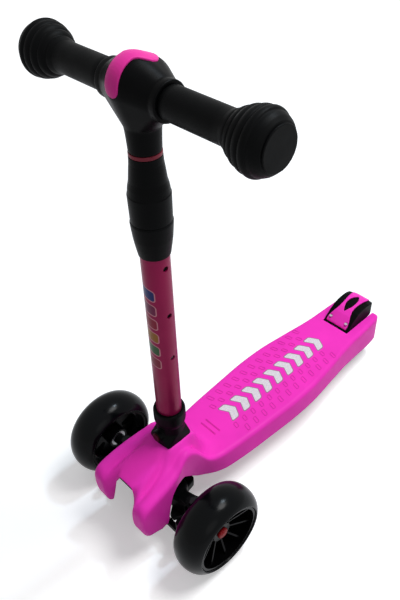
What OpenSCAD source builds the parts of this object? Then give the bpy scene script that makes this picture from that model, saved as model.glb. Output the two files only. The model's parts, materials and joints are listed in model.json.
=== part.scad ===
// Child's three-wheel scooter that steers by leaning.
// Worked out around the middle of the front axle: +X to the rider's left, -Y forward,
// +Z up, ground at z = 0. placed() then moves everything to the middle of the outline.

/* [Wheels] */
// Radius of each front wheel
front_r = 60; // [56:0.5:66]
// Width of each front tyre
front_w = 51; // [48:0.5:56]
// Distance between the middles of the two front wheels
track = 206.4; // [200:0.2:230]
// Radius of the rear wheel
rear_r = 40; // [37:0.5:43]
// Width of the rear tyre
rear_w = 37; // [30:0.5:40]
// Distance from the front axle to the rear axle
wheelbase = 405; // [360:1:480]
// Outer radius of a wheel bearing
bearing_r = 11; // [10:0.5:12]
// Width of a wheel bearing
bearing_w = 7; // [5:0.5:8]
// Shank radius of the axle bolts
axle_r = 4; // [3.5:0.25:4.5]

/* [Deck] */
// Height of the standing surface
deck_top = 76; // [72:0.5:84]
// Widest half-width of the standing surface
deck_half = 53.7; // [50:0.1:62]
// Wall thickness of the deck moulding
wall = 3; // [2.4:0.1:3.4]
// Height of the hood where the socket stands
hood_top = 126.7; // [124:0.1:132]
// Half-width of the tail slot for the rear wheel
slot_half = 23; // [22:0.1:24]
// Thickness of the ribs under the deck
rib_t = 2.2; // [1.6:0.1:3]
// Greatest distance between two cross ribs
rib_pitch = 50; // [40:1:58]

/* [Truck and steering] */
// Height of the lengthways lean pivot
roll_z = 74; // [73:0.1:76]
// Distance from the middle of each front wheel in to its kingpin
king_in = 37.2; // [35.2:0.1:41.2]
// Length of each steering arm, kingpin to tie rod
arm_l = 26; // [24:0.5:27]
// Radius of the lean pivot bolt and of the kingpins
pivot_r = 4; // [3:0.25:4.5]
// Underside height of the tie rod
tie_z = 31; // [28:0.5:32]

/* [Stem] */
// Distance of the stem axis behind the front axle
stem_y = 25.4; // [24:0.1:28]
// Outer radius of the lower tube
tube_r = 15.2; // [14:0.1:15.8]
// Wall of the lower tube
tube_wall = 1.9; // [1.2:0.1:2.2]
// Wall of the inner tube
inner_wall = 1.5; // [1:0.1:2]
// Top of the stem socket
socket_top = 177.5; // [165:0.5:190]
// Height of the lowest height-setting hole
hole_z = 272; // [260:1:280]
// Distance between two height-setting holes
hole_pitch = 62; // [50:1:64]
// Radius of a height-setting hole
hole_r = 3.2; // [2.5:0.1:4]
// Bottom of the black sleeve
sleeve_z = 410; // [404:0.5:420]
// Joint between the sleeve and the twist collar
collar_z = 449; // [446:0.5:454]
// Largest radius of the sleeve and twist collar
barrel_r = 21; // [20:0.1:23]
// Height of the red neck ring
ring_h = 3.6; // [3:0.1:7]

/* [Handlebar] */
// Height of the handle axis at the lowest setting
handle_z = 575; // [572:0.1:590]
// Distance from the underside of the neck ring up to the handle axis
neck_h = 58.2; // [56:0.1:61]
// Overall length of the handlebar
handle_w = 300; // [280:1:330]
// Radius of the cross tube
cross_r = 11; // [10:0.1:12]
// Radius of the straight part of a grip
grip_r = 14.8; // [14:0.1:18]
// Radius of the ball end of a grip
ball_r = 27; // [24:0.1:30]
// Length of the ball end of a grip
ball_l = 45; // [40:0.5:48]
// Ridges around each ball end
ridges = 5; // [4:1:6]
// Radius of the rounded hub of the handlebar
hub_r = 24.2; // [23.5:0.1:28]

/* [Brake] */
// Height of the highest point of the brake cover
brake_top = 102.5; // [96:0.5:104]
// Width of the brake fender
brake_w = 44.4; // [42:0.2:46]

/* [Fits] */
// Gap between pieces that move past each other
gap = 0.4; // [0.3:0.05:0.5]
// Radial running clearance of a shaft in its bush
run = 0.05; // [0.02:0.01:0.1]

/* [Hidden] */
$fn = 64;

// ---- Values that follow from the sizes above ----
foot_y = -68;                       // front face of the two feet of the hood
foot_z = 40.3;                      // lowest edge of the feet
tail_y = wheelbase + 35;            // rear face of the horns
front_y = min(foot_y, -front_r);
back_y = max(tail_y, wheelbase + rear_r);
shift_y = -(front_y + back_y) / 2;  // moves the middle of the outline to the origin
front_z = front_r;
rear_z = rear_r;
slot_y = wheelbase - 38;            // front end of the tail slot
well_y = wheelbase - rear_r - 3;    // front end of the wheel well below it
slot_wall = 2.5;

// under the hood
plate_z = deck_top + 14;            // underside of the carrier plate
plate_t = 8;
plate_top = plate_z + plate_t;
barrel_out = 13;                    // pivot barrel of the truck
barrel_y0 = -13.5;
barrel_y1 = 15.5;
flange_t = 1.5;
lug_gap = 0.3;
lug_t = 12;
lug_half = 14;
lug_low = roll_z - 16;
front_lug_y = barrel_y0 - flange_t - lug_gap - lug_t;
rear_lug_y = barrel_y1 + flange_t + lug_gap;
boss_r = 4.6;
// [x, y, top] of each screw boss of the carrier
boss_at = [[-21, -13, hood_top - 16], [21, -13, hood_top - 16],
           [-22.8, 33, hood_top - 13.5], [22.8, 33, hood_top - 13.5]];
screw_r = 1.9;
screw_head_r = 3.6;

// truck beam
beam_z0 = 45;
beam_z1 = 67;
ear_r = 10.5;
ear_t = 5;
ear_top = 71.5;
knuckle_r = 10;
knuckle_z0 = beam_z0 + ear_t + gap;
knuckle_z1 = ear_top - ear_t - gap;
bush_t = 1.2;
pin_r = 2.5;                        // pin at the end of a steering arm
ball_pin_r = 4;
tie_h = 6;
tie_top = tie_z + tie_h;
lever_z0 = tie_top + gap;           // lever between the deck's ball pin and the tie rod
lever_z1 = beam_z0 - gap;
ball_y = 24;                        // ball pin of the deck, behind the beam
ball_z = (lever_z0 + lever_z1) / 2;

// front wheel, measured along its axle from its middle, outward
hub_out = 12;                       // outer end of the axle bolt
lip_r = front_r - 13;               // edge of the tyre's side opening
seat_r = front_r - 14.5;            // where the tyre sits on the rim
hub_half = front_w / 2 - 8;
king_x = track / 2 - king_in;
stub_end = track / 2 - hub_half - gap;
cap_r = 8;
// rear wheel
rear_hub_half = 12;
rear_seat_r = rear_r - 13;

// stem
ring_z = handle_z - neck_h;
inner_r = tube_r - tube_wall - 0.4;
tube_bottom = plate_top + 4;
tube_top = collar_z + 19;
socket_wall = 2.3;
socket_r = tube_r + socket_wall;
collet_r = tube_r - 0.4;
inner_bottom = hole_z - 20;
lift_travel = 2 * hole_pitch;
base_half = 17.5;
base_y0 = stem_y - 20.4;
base_y1 = stem_y + socket_r + 0.2;
button_z = hood_top + 12.5;
button_r = 5.6;
button_travel = 3;
snap_r = hole_r - 0.4;

// handlebar
housing_z = ring_z + ring_h;
hub_y = stem_y - 5;                 // the hub is a ball stretched backward
hub_z = handle_z + 7.2;
hub_back = 10.4;
hub_drop = 4.8;
collar_x = 38;
collar_w = 6;
collar_r = 17.8;
trim_w = 15.6;
trim_h = 0.8;
// half-width of the trim over the top of the hub, with the distance behind its middle
trim_top = [[7.1, -7], [8.7, -2.5], [11.2, 1.5], [13, 5.5], [13.6, 9.5], [13, 13.5], [11.2, 17.5], [8.2, 20.8], [4.2, 23]];
grip_x0 = collar_x + 0.3;
cap_h = 2;
grip_x1 = handle_w / 2 - cap_h;
end_r = 18.5;

// brake
brake_y = wheelbase - 33;           // pivot of the brake
brake_z = deck_top - 6;
brake_pin_r = 2;
brake_gap = 2.6;                    // between the fender and the tyre, taken up by the brake's stroke
fender_back = wheelbase + 38;

module placed() { translate([0, shift_y, 0]) children(); }
module bar_x(x0, x1, y, z, r) { translate([x0, y, z]) rotate([0, 90, 0]) cylinder(h = x1 - x0, r = r); }
module bar_y(y0, y1, x, z, r) { translate([x, y0, z]) rotate([-90, 0, 0]) cylinder(h = y1 - y0, r = r); }
module bar_z(z0, z1, x, y, r) { translate([x, y, z0]) cylinder(h = z1 - z0, r = r); }
module block(x0, x1, y0, y1, z0, z1) { translate([x0, y0, z0]) cube([x1 - x0, y1 - y0, z1 - z0]); }

// ---- The deck's surface ----
// It is a sheet laid over three guide lines that run from the front rim over the hood to
// the tail: the middle of the top, the sharp line of its edge, and the foot of its skirt.
function spline(a, b, c, d, u) =
    0.5 * (2 * b + (c - a) * u + (2 * a - 5 * b + 4 * c - d) * u * u + (3 * b - a - 3 * c + d) * u * u * u);
function at(line, t) =
    let (last = len(line) - 1, i = min(floor(t), last - 1), u = t - i)
    spline(line[max(i - 1, 0)], line[i], line[i + 1], line[min(i + 2, last)], u);
function ease(a, b, x) = let (u = min(1, max(0, (x - a) / (b - a)))) u * u * (3 - 2 * u);

rim_y = -53;
rim_z = hood_top - 24.2;
dt = deck_top;
ht = hood_top;
dh = deck_half;
sy = stem_y;
mid = (slot_y - 86) / 274;          // stretches the stations of the foot deck
function my(y) = 86 + (y - 86) * mid;
// each row: [middle y, z], [edge half-width, y, z, corner radius], [skirt half-width, y, z],
// [where the top starts and stops bending down to the edge, valley depth, valley half-width]
stations = [
    [[rim_y, rim_z], [46.5, -59, foot_z + 1.5, 7], [47, -47.5, foot_z + 0.3], [13, 24.5, 0, 20]],
    [[rim_y + 1, rim_z + 0.8], [47.7, -64, foot_z + 6.5, 7], [48, -45, foot_z], [13, 25, 0, 20]],
    [[rim_y + 2.5, rim_z + 1.7], [48.5, foot_y + 1, foot_z + 18, 7], [48.6, -43, foot_z], [13, 26, 0, 22]],
    [[rim_y + 5, rim_z + 2.8], [48.5, foot_y, 76, 7], [49, -40.5, foot_z], [14, 27, 0.5, 24]],
    [[rim_y + 8.5, rim_z + 4.3], [48.5, foot_y + 1.2, 90, 8], [49, -38, foot_z + 0.4], [15, 29, 1.5, 26]],
    [[rim_y + 13, rim_z + 6.3], [48.5, -61, 98.5, 9], [49, -35, foot_z + 1.4], [16, 32, 2.5, 28]],
    [[rim_y + 19, rim_z + 8.8], [48.5, -52, 102, 9], [49, -31, 41.5], [17, 34, 3, 28]],
    [[rim_y + 26, rim_z + 11.7], [48, -42, 104.5, 9], [48.5, -28, 49], [17, 35, 3, 27]],
    [[rim_y + 33, rim_z + 14.7], [47.5, -31, 106.5, 9], [48, -25.5, 59], [17, 35, 3, 25]],
    [[rim_y + 40, rim_z + 17.6], [46.5, -21, 108.5, 9], [47.5, -22.5, 71], [16, 35, 3, 23]],
    [[rim_y + 47, rim_z + 20.5], [45, -11, 110.5, 9], [46.5, -17, 84], [15, 34, 2.5, 20]],
    [[rim_y + 53, rim_z + 22.9], [43, -2, 112.5, 9], [45, -9, 91.5], [15, 32, 1.5, 17.5]],
    [[sy - 20, ht], [40.5, 5, 115.5, 8], [42.5, 0, 92.5], [16, 30, 0.5, 17]],
    [[sy - 14, ht], [38, 11, 118.5, 8], [40, 8, 90], [17, 28, 0, 17]],
    [[sy - 7, ht], [36.5, 18, 120.5, 7], [38.5, 17, 81.5], [18, 27, 0, 17]],
    [[sy, ht], [36, 25, 119.5, 7], [37.5, 25.5, 72.5], [18, 27, 0, 17]],
    [[sy + 8, ht], [36, 32, 114, 7], [37.3, 33, 64.5], [18, 27, 0, 17]],
    [[sy + 16, ht], [36.3, 38.5, 106, 7], [37.8, 40, 59.5], [18, 27, 0, 17]],
    [[sy + 22, ht - 5.5], [37, 44.5, 96, 7], [38.8, 46, 56], [17, 28, 0, 17]],
    [[sy + 28, ht - 18], [38.5, 50.5, 86.5, 6.5], [40.3, 52, 53], [14, 30, 0, 17]],
    [[sy + 34, dt + 17.5], [40.2, 57, dt + 4, 6], [42.2, 58.5, 50.5], [12, 31, 0, 17]],
    [[sy + 41, dt + 6.5], [42, 65, dt + 0.9, 6], [44.2, 66, 48.5], [12, 33, 0, 17]],
    [[75, dt + 1.2], [43.7, 75, dt, 6], [46.2, 75, 47], [12, 35, 0, 17]],
    [[86, dt], [45, 86, dt, 6], [47.7, 86, 46], [12, 35, 0, 17]],
    for (s = [[105, 6.6, 45.5], [130, 4.6, 45], [161, 2.6, 45], [190, 0.7, 45], [215, 0, 45],
              [250, 1, 45], [292, 6, 44], [330, 11.2, 41], [352, 13.4, 38]])
        [[my(s[0]), dt], [dh - s[1], my(s[0]), dt, 6], [dh - s[1] + 2.8, my(s[0]), s[2]], [12, 30, 0, 17]],
    for (s = [[-28, 14.2, 34.5], [-5, 15.2, 33], [13, 16.5, 33], [24, 18, 33.2]])
        [[wheelbase + s[0], dt], [dh - s[1], wheelbase + s[0], dt, 6],
         [dh - s[1] + 1.4, wheelbase + s[0], s[2]], [12, 28, 0, 17]],
    [[tail_y - 6.5, dt - 0.4], [dh - 19.2, tail_y - 7, dt - 0.4, 5], [dh - 18.2, tail_y - 7.5, 33.6], [12, 26, 0, 17]],
    [[tail_y - 2.6, dt - 2], [dh - 21.2, tail_y - 3, dt - 2, 4.6], [dh - 20.5, tail_y - 3.4, 33.8], [12, 26, 0, 17]],
    [[tail_y - 0.7, dt - 5.6], [dh - 23.4, tail_y - 1, dt - 5.6, 4.2], [dh - 23, tail_y - 1.3, 34], [12, 26, 0, 17]],
    [[tail_y, dt - 12], [dh - 24.8, tail_y - 0.3, dt - 12, 3.8], [dh - 24.5, tail_y - 0.5, 34.2], [12, 26, 0, 17]],
    [[tail_y, 39], [dh - 24.8, tail_y - 0.3, 39, 3.6], [dh - 24.6, tail_y - 0.5, 34.4], [12, 26, 0, 17]]
];
middle_line = [for (s = stations) s[0]];
edge_line = [for (s = stations) s[1]];
skirt_line = [for (s = stations) s[2]];
bend_line = [for (s = stations) s[3]];

top_n = 9;                          // steps from the middle to the corner
corner_n = 3;                       // steps round the corner
half_n = top_n + corner_n + 2;
function half_point(t, k) =
    let (m = at(middle_line, t), e = at(edge_line, t), s = at(skirt_line, t), b = at(bend_line, t),
         corner = [e[0], e[1], e[2]], foot = [s[0], s[1], s[2]], r = e[3],
         down = (foot - corner) / norm(foot - corner))
    k <= top_n
        ? let (x = (e[0] - r) * k / top_n, u = ease(b[0], b[1], x),
               valley = b[2] * exp(-pow((x - b[3]) / 6, 2)))
          [x, m[0] + (e[1] - m[0]) * u, m[1] + (e[2] - m[1]) * u - valley]
        : k <= top_n + corner_n
            ? let (u = (k - top_n) / corner_n, a = corner - [r, 0, 0], c = corner + down * r)
              (1 - u) * (1 - u) * a + 2 * u * (1 - u) * corner + u * u * c
            : let (c = corner + down * r, u = (k - top_n - corner_n) / 2) c + (foot - c) * u;
function row(t) = [for (j = [-half_n : half_n])
    let (p = half_point(t, abs(j))) [j < 0 ? -p[0] : p[0], p[1], p[2]]];
fine_to = 22;                       // the hood takes two rows to a station, the rest one
row_t = [for (t = [0 : 0.5 : fine_to]) t, for (t = [fine_to + 1 : len(stations) - 1]) t];
sheet = [for (t = row_t) row(t)];
rows = len(sheet);
cols = 2 * half_n + 1;
function normal(i, j) =
    let (d = sheet[min(i + 1, rows - 1)][j] - sheet[max(i - 1, 0)][j],
         a = sheet[i][min(j + 1, cols - 1)] - sheet[i][max(j - 1, 0)],
         n = cross(a, d))
    n / norm(n);
module deck_sheet() {
    outer = [for (i = [0 : rows - 1], j = [0 : cols - 1]) sheet[i][j]];
    inner = [for (i = [0 : rows - 1], j = [0 : cols - 1]) sheet[i][j] - wall * normal(i, j)];
    n = rows * cols;
    function id(i, j) = i * cols + j;
    faces = [
        for (i = [0 : rows - 2], j = [0 : cols - 2])
            each [[id(i, j), id(i + 1, j), id(i + 1, j + 1)], [id(i, j), id(i + 1, j + 1), id(i, j + 1)],
                  [n + id(i, j), n + id(i + 1, j + 1), n + id(i + 1, j)],
                  [n + id(i, j), n + id(i, j + 1), n + id(i + 1, j + 1)]],
        for (j = [0 : cols - 2], e = [0, 1])
            let (i = e * (rows - 1), a = id(i, j + e), b = id(i, j + 1 - e))
            each [[a, b, n + b], [a, n + b, n + a]],
        for (i = [0 : rows - 2], e = [0, 1])
            let (j = e * (cols - 1), a = id(i + 1 - e, j), b = id(i + e, j))
            each [[a, b, n + b], [a, n + b, n + a]]
    ];
    polyhedron(points = concat(outer, inner), faces = faces);
}
// cross rib: the deck's own section at a station, down to the ribs' lower edge
module cross_rib(y, low) {
    k = lookup_station(y);
    pts = [for (p = row(k)) [p[0] * (1 - wall / 2 / dh), min(p[2], dt - wall / 2)]];
    translate([0, y + rib_t / 2, 0]) rotate([90, 0, 0]) linear_extrude(rib_t)
        intersection() {
            polygon(pts);
            translate([-dh - 5, low]) square([2 * dh + 10, 60]);
        }
}
function lookup_station(y) = lookup(y, [for (t = [23 : len(stations) - 4]) [at(middle_line, t)[0], t]]);

module deck_shell() placed() color([0.95, 0.22, 0.7]) {
    rib_y0 = 84;
    rib_n = ceil((well_y - slot_wall - rib_y0) / rib_pitch);
    rib_step = (well_y - slot_wall - rib_y0) / rib_n;
    difference() {
        union() {
            deck_sheet();
            for (k = [0 : rib_n - 1]) cross_rib(rib_y0 + k * rib_step, 56);
            for (x = [-18, 18]) block(x - rib_t / 2, x + rib_t / 2, rib_y0, well_y - 1, 58, dt - wall / 2);
            // walls of the tail slot
            for (s = [-1, 1])
                block(min(s * slot_half, s * (slot_half + slot_wall)), max(s * slot_half, s * (slot_half + slot_wall)),
                    well_y - slot_wall, tail_y - 1.5, 33, dt - 0.8);
            block(-slot_half - 1, slot_half + 1, well_y - slot_wall, well_y, 44, dt - 0.8);
            // screw bosses of the carrier
            for (b = boss_at) bar_z(plate_top, b[2], b[0], b[1], boss_r);
            // screw bosses of the rear bracket
            for (s = [-1, 1]) bar_z(rear_z + 26, dt - wall / 2, s * 30.4, wheelbase - 22, 4);
        }
        block(-slot_half, slot_half, slot_y, back_y + 1, 20, dt + 5);
        block(-slot_half, slot_half, well_y, slot_y + 1, 20, dt - wall);
        bar_z(plate_z, ht + 5, 0, stem_y, socket_r + 0.4);
        block(-base_half, base_half, base_y0, base_y1, ht, ht + 5);
        for (b = boss_at) bar_z(plate_top - 1, b[2] - 2, b[0], b[1], screw_r, $fn = 24);
        for (s = [-1, 1]) bar_z(rear_z + 20, dt - wall - 2, s * 30.4, wheelbase - 22, screw_r, $fn = 24);
        bar_x(-slot_half - slot_wall - 0.5, slot_half + slot_wall + 0.5, wheelbase, rear_z, axle_r, $fn = 32);
        bar_x(-slot_half - 2.2, slot_half + 2.2, brake_y, brake_z, brake_pin_r + 0.02, $fn = 32);
        // two short grooves across the standing surface
        for (y = [89, 97.5]) block(-14, 14, y - 1, y + 1, dt - 1, dt + 1);
    }
}

// ---- Under the hood ----
module front_carrier() placed() color([0.1, 0.1, 0.1]) difference() {
    union() {
        block(-27, 27, -20, stem_y + 13, plate_z, plate_top);
        block(-lug_half, lug_half, front_lug_y, front_lug_y + lug_t, lug_low, plate_z);
        block(-lug_half, lug_half, front_lug_y, -19, plate_z, plate_top);
        block(-lug_half, lug_half, rear_lug_y, rear_lug_y + lug_t, lug_low, plate_z);
    }
    bar_y(front_lug_y - 1, rear_lug_y + lug_t + 1, 0, roll_z, pivot_r);
    bar_z(lug_low - 1, lug_low + 8, 0, ball_y, pivot_r - 1);
    for (b = boss_at) bar_z(plate_z - 1, plate_top + 1, b[0], b[1], screw_r, $fn = 24);
    bar_z(plate_z - 1, plate_top + 1, 0, stem_y, 6);
}

module stem_socket() placed() color([0.08, 0.08, 0.085]) difference() {
    union() {
        bar_z(plate_top, hood_top, 0, stem_y, socket_r);
        hull() {
            for (x = [-1, 1], y = [base_y0 + 3, base_y1 - 3]) bar_z(hood_top, hood_top + 3, x * (base_half - 3), y, 3, $fn = 32);
            bar_z(hood_top, hood_top + 16, 0, stem_y, socket_r - 0.3);
            translate([0, base_y0 + 6, hood_top]) cylinder(h = 14, r = 8, $fn = 32);
        }
        translate([0, stem_y, 0]) rotate_extrude()
            polygon([[tube_r - 1, hood_top], [socket_r, hood_top], [socket_r - 0.2, hood_top + 26],
                [socket_r + 1.6, socket_top - 20], [socket_r + 2.1, socket_top - 16],
                [socket_r + 2.1, socket_top - 3], [socket_r + 1.2, socket_top], [tube_r - 1, socket_top]]);
        // boss of the release button
        bar_y(base_y0 - 3, base_y0 + 6, 0, button_z, button_r + 2.2);
    }
    bar_z(tube_bottom, socket_top + 1, 0, stem_y, tube_r + run);
    bar_z(plate_top - 1, tube_bottom + 1, 0, stem_y, tube_r - 4);
    bar_y(base_y0 - 4, base_y0 + 2.2, 0, button_z, button_r + gap);
    bar_y(base_y0 + 1, stem_y, 0, button_z, pin_r + gap);
}

module deck_screws() placed() color([0.6, 0.6, 0.62]) {
    for (b = boss_at) {
        bar_z(plate_z - 3, plate_z, b[0], b[1], screw_head_r);
        bar_z(plate_z - 1, b[2] - 2, b[0], b[1], screw_r, $fn = 24);
    }
    for (s = [-1, 1]) {
        bar_z(rear_z + 21, rear_z + 24, s * 30.4, wheelbase - 22, 2.7);
        bar_z(rear_z + 23, deck_top - wall - 2, s * 30.4, wheelbase - 22, screw_r, $fn = 24);
    }
}

module truck_pivot_bolt() placed() color([0.55, 0.55, 0.58]) {
    bar_y(front_lug_y - 4.6, front_lug_y, 0, roll_z, 7.2, $fn = 6);
    bar_y(front_lug_y - 1, rear_lug_y + lug_t + 8, 0, roll_z, pivot_r);
}

module truck_pivot_nut() placed() color([0.55, 0.55, 0.58]) difference() {
    bar_y(rear_lug_y + lug_t, rear_lug_y + lug_t + 6, 0, roll_z, 7.2, $fn = 6);
    bar_y(rear_lug_y + lug_t - 1, rear_lug_y + lug_t + 7, 0, roll_z, pivot_r);
}

module steering_pin() placed() color([0.6, 0.6, 0.62]) {
    bar_z(ball_z, lug_low + 7, 0, ball_y, pivot_r - 1);
    translate([0, ball_y, ball_z]) sphere(r = ball_pin_r);
}

module return_buffers() placed() color([0.25, 0.25, 0.27])
    for (x = [-20.5, 20.5]) bar_z(beam_z1, plate_z, x, 2, 5);

// ---- Truck ----
module truck_beam() placed() color([0.09, 0.09, 0.09]) difference() {
    union() {
        translate([0, 0, beam_z0 + 1]) linear_extrude(beam_z1 - beam_z0 - 1)
            for (s = [0, 1]) mirror([s, 0])
                polygon([[-1, barrel_y0], [30, barrel_y0], [44, -12.5], [king_x - 8, -ear_r + 1], [king_x - 11, ear_r - 2],
                    [47, 7], [42, 8.5], [38, 14], [33, barrel_y1], [-1, barrel_y1]]);
        // wings of the lower plate
        for (s = [0, 1]) mirror([s, 0]) {
            translate([0, 0, beam_z0]) linear_extrude(ear_t - 0.2)
                translate([king_x, 0])
                    polygon([[-26, 0], [-28, -14], [-21, -23.5], [-17, -25.8], [-12, -25], [-10, -20], [-9, 0]]);
            translate([0, 0, beam_z0]) linear_extrude(12)
                polygon([[20, 10], [19.5, 28], [22, 31], [31, 31], [34.5, 27], [36.5, 15], [42, 8]]);
        }
        bar_z(beam_z0, beam_z0 + 4, 0, 0, 12);
        bar_y(barrel_y0, barrel_y1, 0, roll_z, barrel_out);
        for (s = [-1, 1]) {
            bar_z(beam_z0, beam_z0 + ear_t, s * king_x, 0, ear_r);
            bar_z(ear_top - ear_t, ear_top, s * king_x, 0, ear_r);
            block(min(s * 44, s * (king_x - 6)), max(s * 44, s * (king_x - 6)), -ear_r + 1, ear_r - 3, beam_z0, beam_z0 + ear_t);
            hull() {
                bar_z(ear_top - ear_t, ear_top, s * (king_x - 4), 0, ear_r - 2, $fn = 32);
                block(min(s * 40, s * 44), max(s * 40, s * 44), -9, 6, beam_z1 - 5, beam_z1);
            }
        }
    }
    // room for the knuckle barrels and their arms
    for (s = [-1, 1]) {
        bar_z(beam_z0 + ear_t, ear_top - ear_t, s * king_x, 0, knuckle_r + 1);
        bar_z(beam_z0 - 1, ear_top + 1, s * king_x, 0, pivot_r);
    }
    bar_y(barrel_y0 - 1, barrel_y1 + 1, 0, roll_z, pivot_r + 4);
    bar_z(beam_z0 - 1, beam_z0 + 14, 0, 0, pin_r);
}

module truck_bushes() placed() color([0.85, 0.85, 0.8]) difference() {
    for (s = [0, 1])
        translate([0, s ? barrel_y1 : barrel_y0, 0]) mirror([0, s, 0]) {
            bar_y(-flange_t, 0, 0, roll_z, pivot_r + 7);
            bar_y(-1, 11, 0, roll_z, pivot_r + 4);
        }
    bar_y(barrel_y0 - 5, barrel_y1 + 5, 0, roll_z, pivot_r + run);
}

module truck_bolts() placed() color([0.5, 0.5, 0.53]) {
    for (s = [-1, 1]) {
        bar_z(ear_top, ear_top + 3.4, s * king_x, 0, 7, $fn = 6);
        bar_z(beam_z0 - 6, ear_top + 1, s * king_x, 0, pivot_r);
    }
    bar_z(lever_z0 - 2.4, lever_z0, 0, 0, 5, $fn = 6);
    bar_z(lever_z0 - 1, beam_z0 + 14, 0, 0, pin_r);
}

module kingpin_nuts() placed() color([0.5, 0.5, 0.53])
    for (s = [-1, 1]) difference() {
        bar_z(beam_z0 - 5, beam_z0, s * king_x, 0, 7, $fn = 6);
        bar_z(beam_z0 - 6, beam_z0 + 1, s * king_x, 0, pivot_r);
    }

module steering_lever() placed() color([0.1, 0.1, 0.1]) difference() {
    union() {
        translate([0, 0, lever_z0]) linear_extrude(lever_z1 - lever_z0)
            polygon([[-9, 0], [-8.5, ball_y - 4], [-6, ball_y + 6.5], [6, ball_y + 6.5], [8.5, ball_y - 4], [9, 0],
                [4.5, -arm_l], [-4.5, -arm_l]]);
        bar_z(lever_z0, lever_z1, 0, 0, 9);
        bar_z(lever_z0, lever_z1, 0, -arm_l, 4.5);
        bar_z(tie_z, lever_z0 + 1, 0, -arm_l, pin_r);
    }
    bar_z(lever_z0 - 1, lever_z1 + 1, 0, 0, pin_r + run);
    slot_cut(0, ball_y, ball_pin_r + gap, 1.2, lever_z0 - 1, lever_z1 + 1);
}

module tie_rod() placed() color([0.12, 0.12, 0.12]) difference() {
    translate([0, -arm_l, tie_z]) linear_extrude(tie_h) {
        square([2 * king_x, 7.4], center = true);
        for (s = [-1, 0, 1]) translate([s * king_x, 0]) circle(r = 6);
    }
    // a slot for the pin of the lever and of each steering arm
    for (s = [-1, 0, 1]) slot_cut(s * king_x, -arm_l, pin_r + gap / 2, 0.8, tie_z - 1, tie_top + 1);
}
module slot_cut(x, y, r, reach, z0, z1) {
    for (s = [-1, 1]) bar_z(z0, z1, x, y + s * reach, r);
    block(x - r, x + r, y - reach, y + reach, z0, z1);
}

// side +1 is the rider's left
module knuckle(s) placed() color([0.08, 0.08, 0.08]) difference() {
    union() {
        bar_z(knuckle_z0, knuckle_z1, s * king_x, 0, knuckle_r);
        x0 = s * king_x;
        x1 = s * stub_end;
        bar_x(min(x0, x1), max(x0, x1), 0, front_z, knuckle_z1 - front_z - gap);
        shoulder = s * (king_x + ear_r + 1);
        bar_x(min(shoulder, x1), max(shoulder, x1), 0, front_z, 7.6);
        // steering arm and its pin
        block(x0 - 6, x0 + 5, -arm_l, 0, knuckle_z0, knuckle_z0 + 6);
        bar_z(lever_z0, knuckle_z0 + 6, x0, -arm_l, 5.5);
        translate([x0, -arm_l, knuckle_z0 + 6]) sphere(r = 5.5);
        bar_z(tie_z, lever_z0 + 1, x0, -arm_l, pin_r);
    }
    bar_z(knuckle_z0 - 1, knuckle_z1 + 1, s * king_x, 0, pivot_r + bush_t);
    x2 = s * (king_x + pivot_r + bush_t + 1);
    x3 = s * (stub_end + 1);
    bar_x(min(x2, x3), max(x2, x3), 0, front_z, axle_r);
}
module left_knuckle() { knuckle(1); }
module right_knuckle() { knuckle(-1); }

module kingpin_bush(s) placed() color([0.85, 0.85, 0.8]) difference() {
    bar_z(knuckle_z0, knuckle_z1, s * king_x, 0, pivot_r + bush_t);
    bar_z(knuckle_z0 - 1, knuckle_z1 + 1, s * king_x, 0, pivot_r + run);
}
module left_kingpin_bush() { kingpin_bush(1); }
module right_kingpin_bush() { kingpin_bush(-1); }

module axle_bolt(s) placed() color([0.6, 0.6, 0.62]) {
    x0 = s * (king_x + pivot_r + bush_t + 1.5);
    x1 = s * (track / 2 + hub_out - 4);
    x2 = s * (track / 2 + hub_out);
    bar_x(min(x0, x1), max(x0, x1), 0, front_z, axle_r);
    bar_x(min(x1, x2), max(x1, x2), 0, front_z, cap_r - 2.2, $fn = 6);
}
module left_axle_bolt() { axle_bolt(1); }
module right_axle_bolt() { axle_bolt(-1); }

// ---- Wheels: a profile is [distance along the axle, radius], outward first ----
module wheel(s) { placed() translate([s * track / 2, 0, front_z]) rotate([0, 90 * s, 0]) children(); }
module ring(z0, z1, r0, r1) difference() {
    translate([0, 0, z0]) cylinder(h = z1 - z0, r = r1);
    translate([0, 0, z0 - 1]) cylinder(h = z1 - z0 + 2, r = r0);
}
bearing_in = -hub_half;             // inner face of the inner bearing
bearing_out = hub_out - 4 - bearing_w;
module tyre_body(r, w, seat, crown) rotate_extrude($fn = 96)
    polygon([
        [seat, -w / 2 + crown * 0.22], [seat, w / 2 - crown * 0.22],
        for (a = [74 : -9.25 : -74]) [r - crown + crown * cos(a), w / 2 * sin(a)]
    ]);
module left_tyre() wheel(1) color([0.1, 0.1, 0.11]) tyre_body(front_r, front_w, seat_r, 18);
module right_tyre() wheel(-1) color([0.1, 0.1, 0.11]) tyre_body(front_r, front_w, seat_r, 18);

module rim() color([0.05, 0.05, 0.05]) difference() {
    rim_half = front_w / 2 - 4;
    union() {
        ring(-rim_half, rim_half, seat_r - 3, seat_r);
        ring(bearing_in, bearing_out + bearing_w, bearing_r, bearing_r + 3);
        // dished web and its spokes
        rotate_extrude() polygon([[bearing_r + 1, -2], [bearing_r + 1, 5], [seat_r - 2, 1], [seat_r - 2, -3]]);
        for (k = [0 : 9]) rotate(36 * k)
            rotate([90, 0, 0]) linear_extrude(2.4, center = true)
                polygon([[bearing_r + 1.4, 2.3], [bearing_r + 1.4, 6.6], [seat_r - 1.5, rim_half - 5], [seat_r - 1.5, 0.3]]);
    }
    for (k = [0 : 4]) rotate(72 * k + 18)
        translate([0, 0, -8]) linear_extrude(22)
            polygon([[bearing_r + 7, -3], [bearing_r + 7, 3], [seat_r - 7, 9], [seat_r - 7, -9]]);
}
module left_rim() wheel(1) rim();
module right_rim() wheel(-1) rim();

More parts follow.
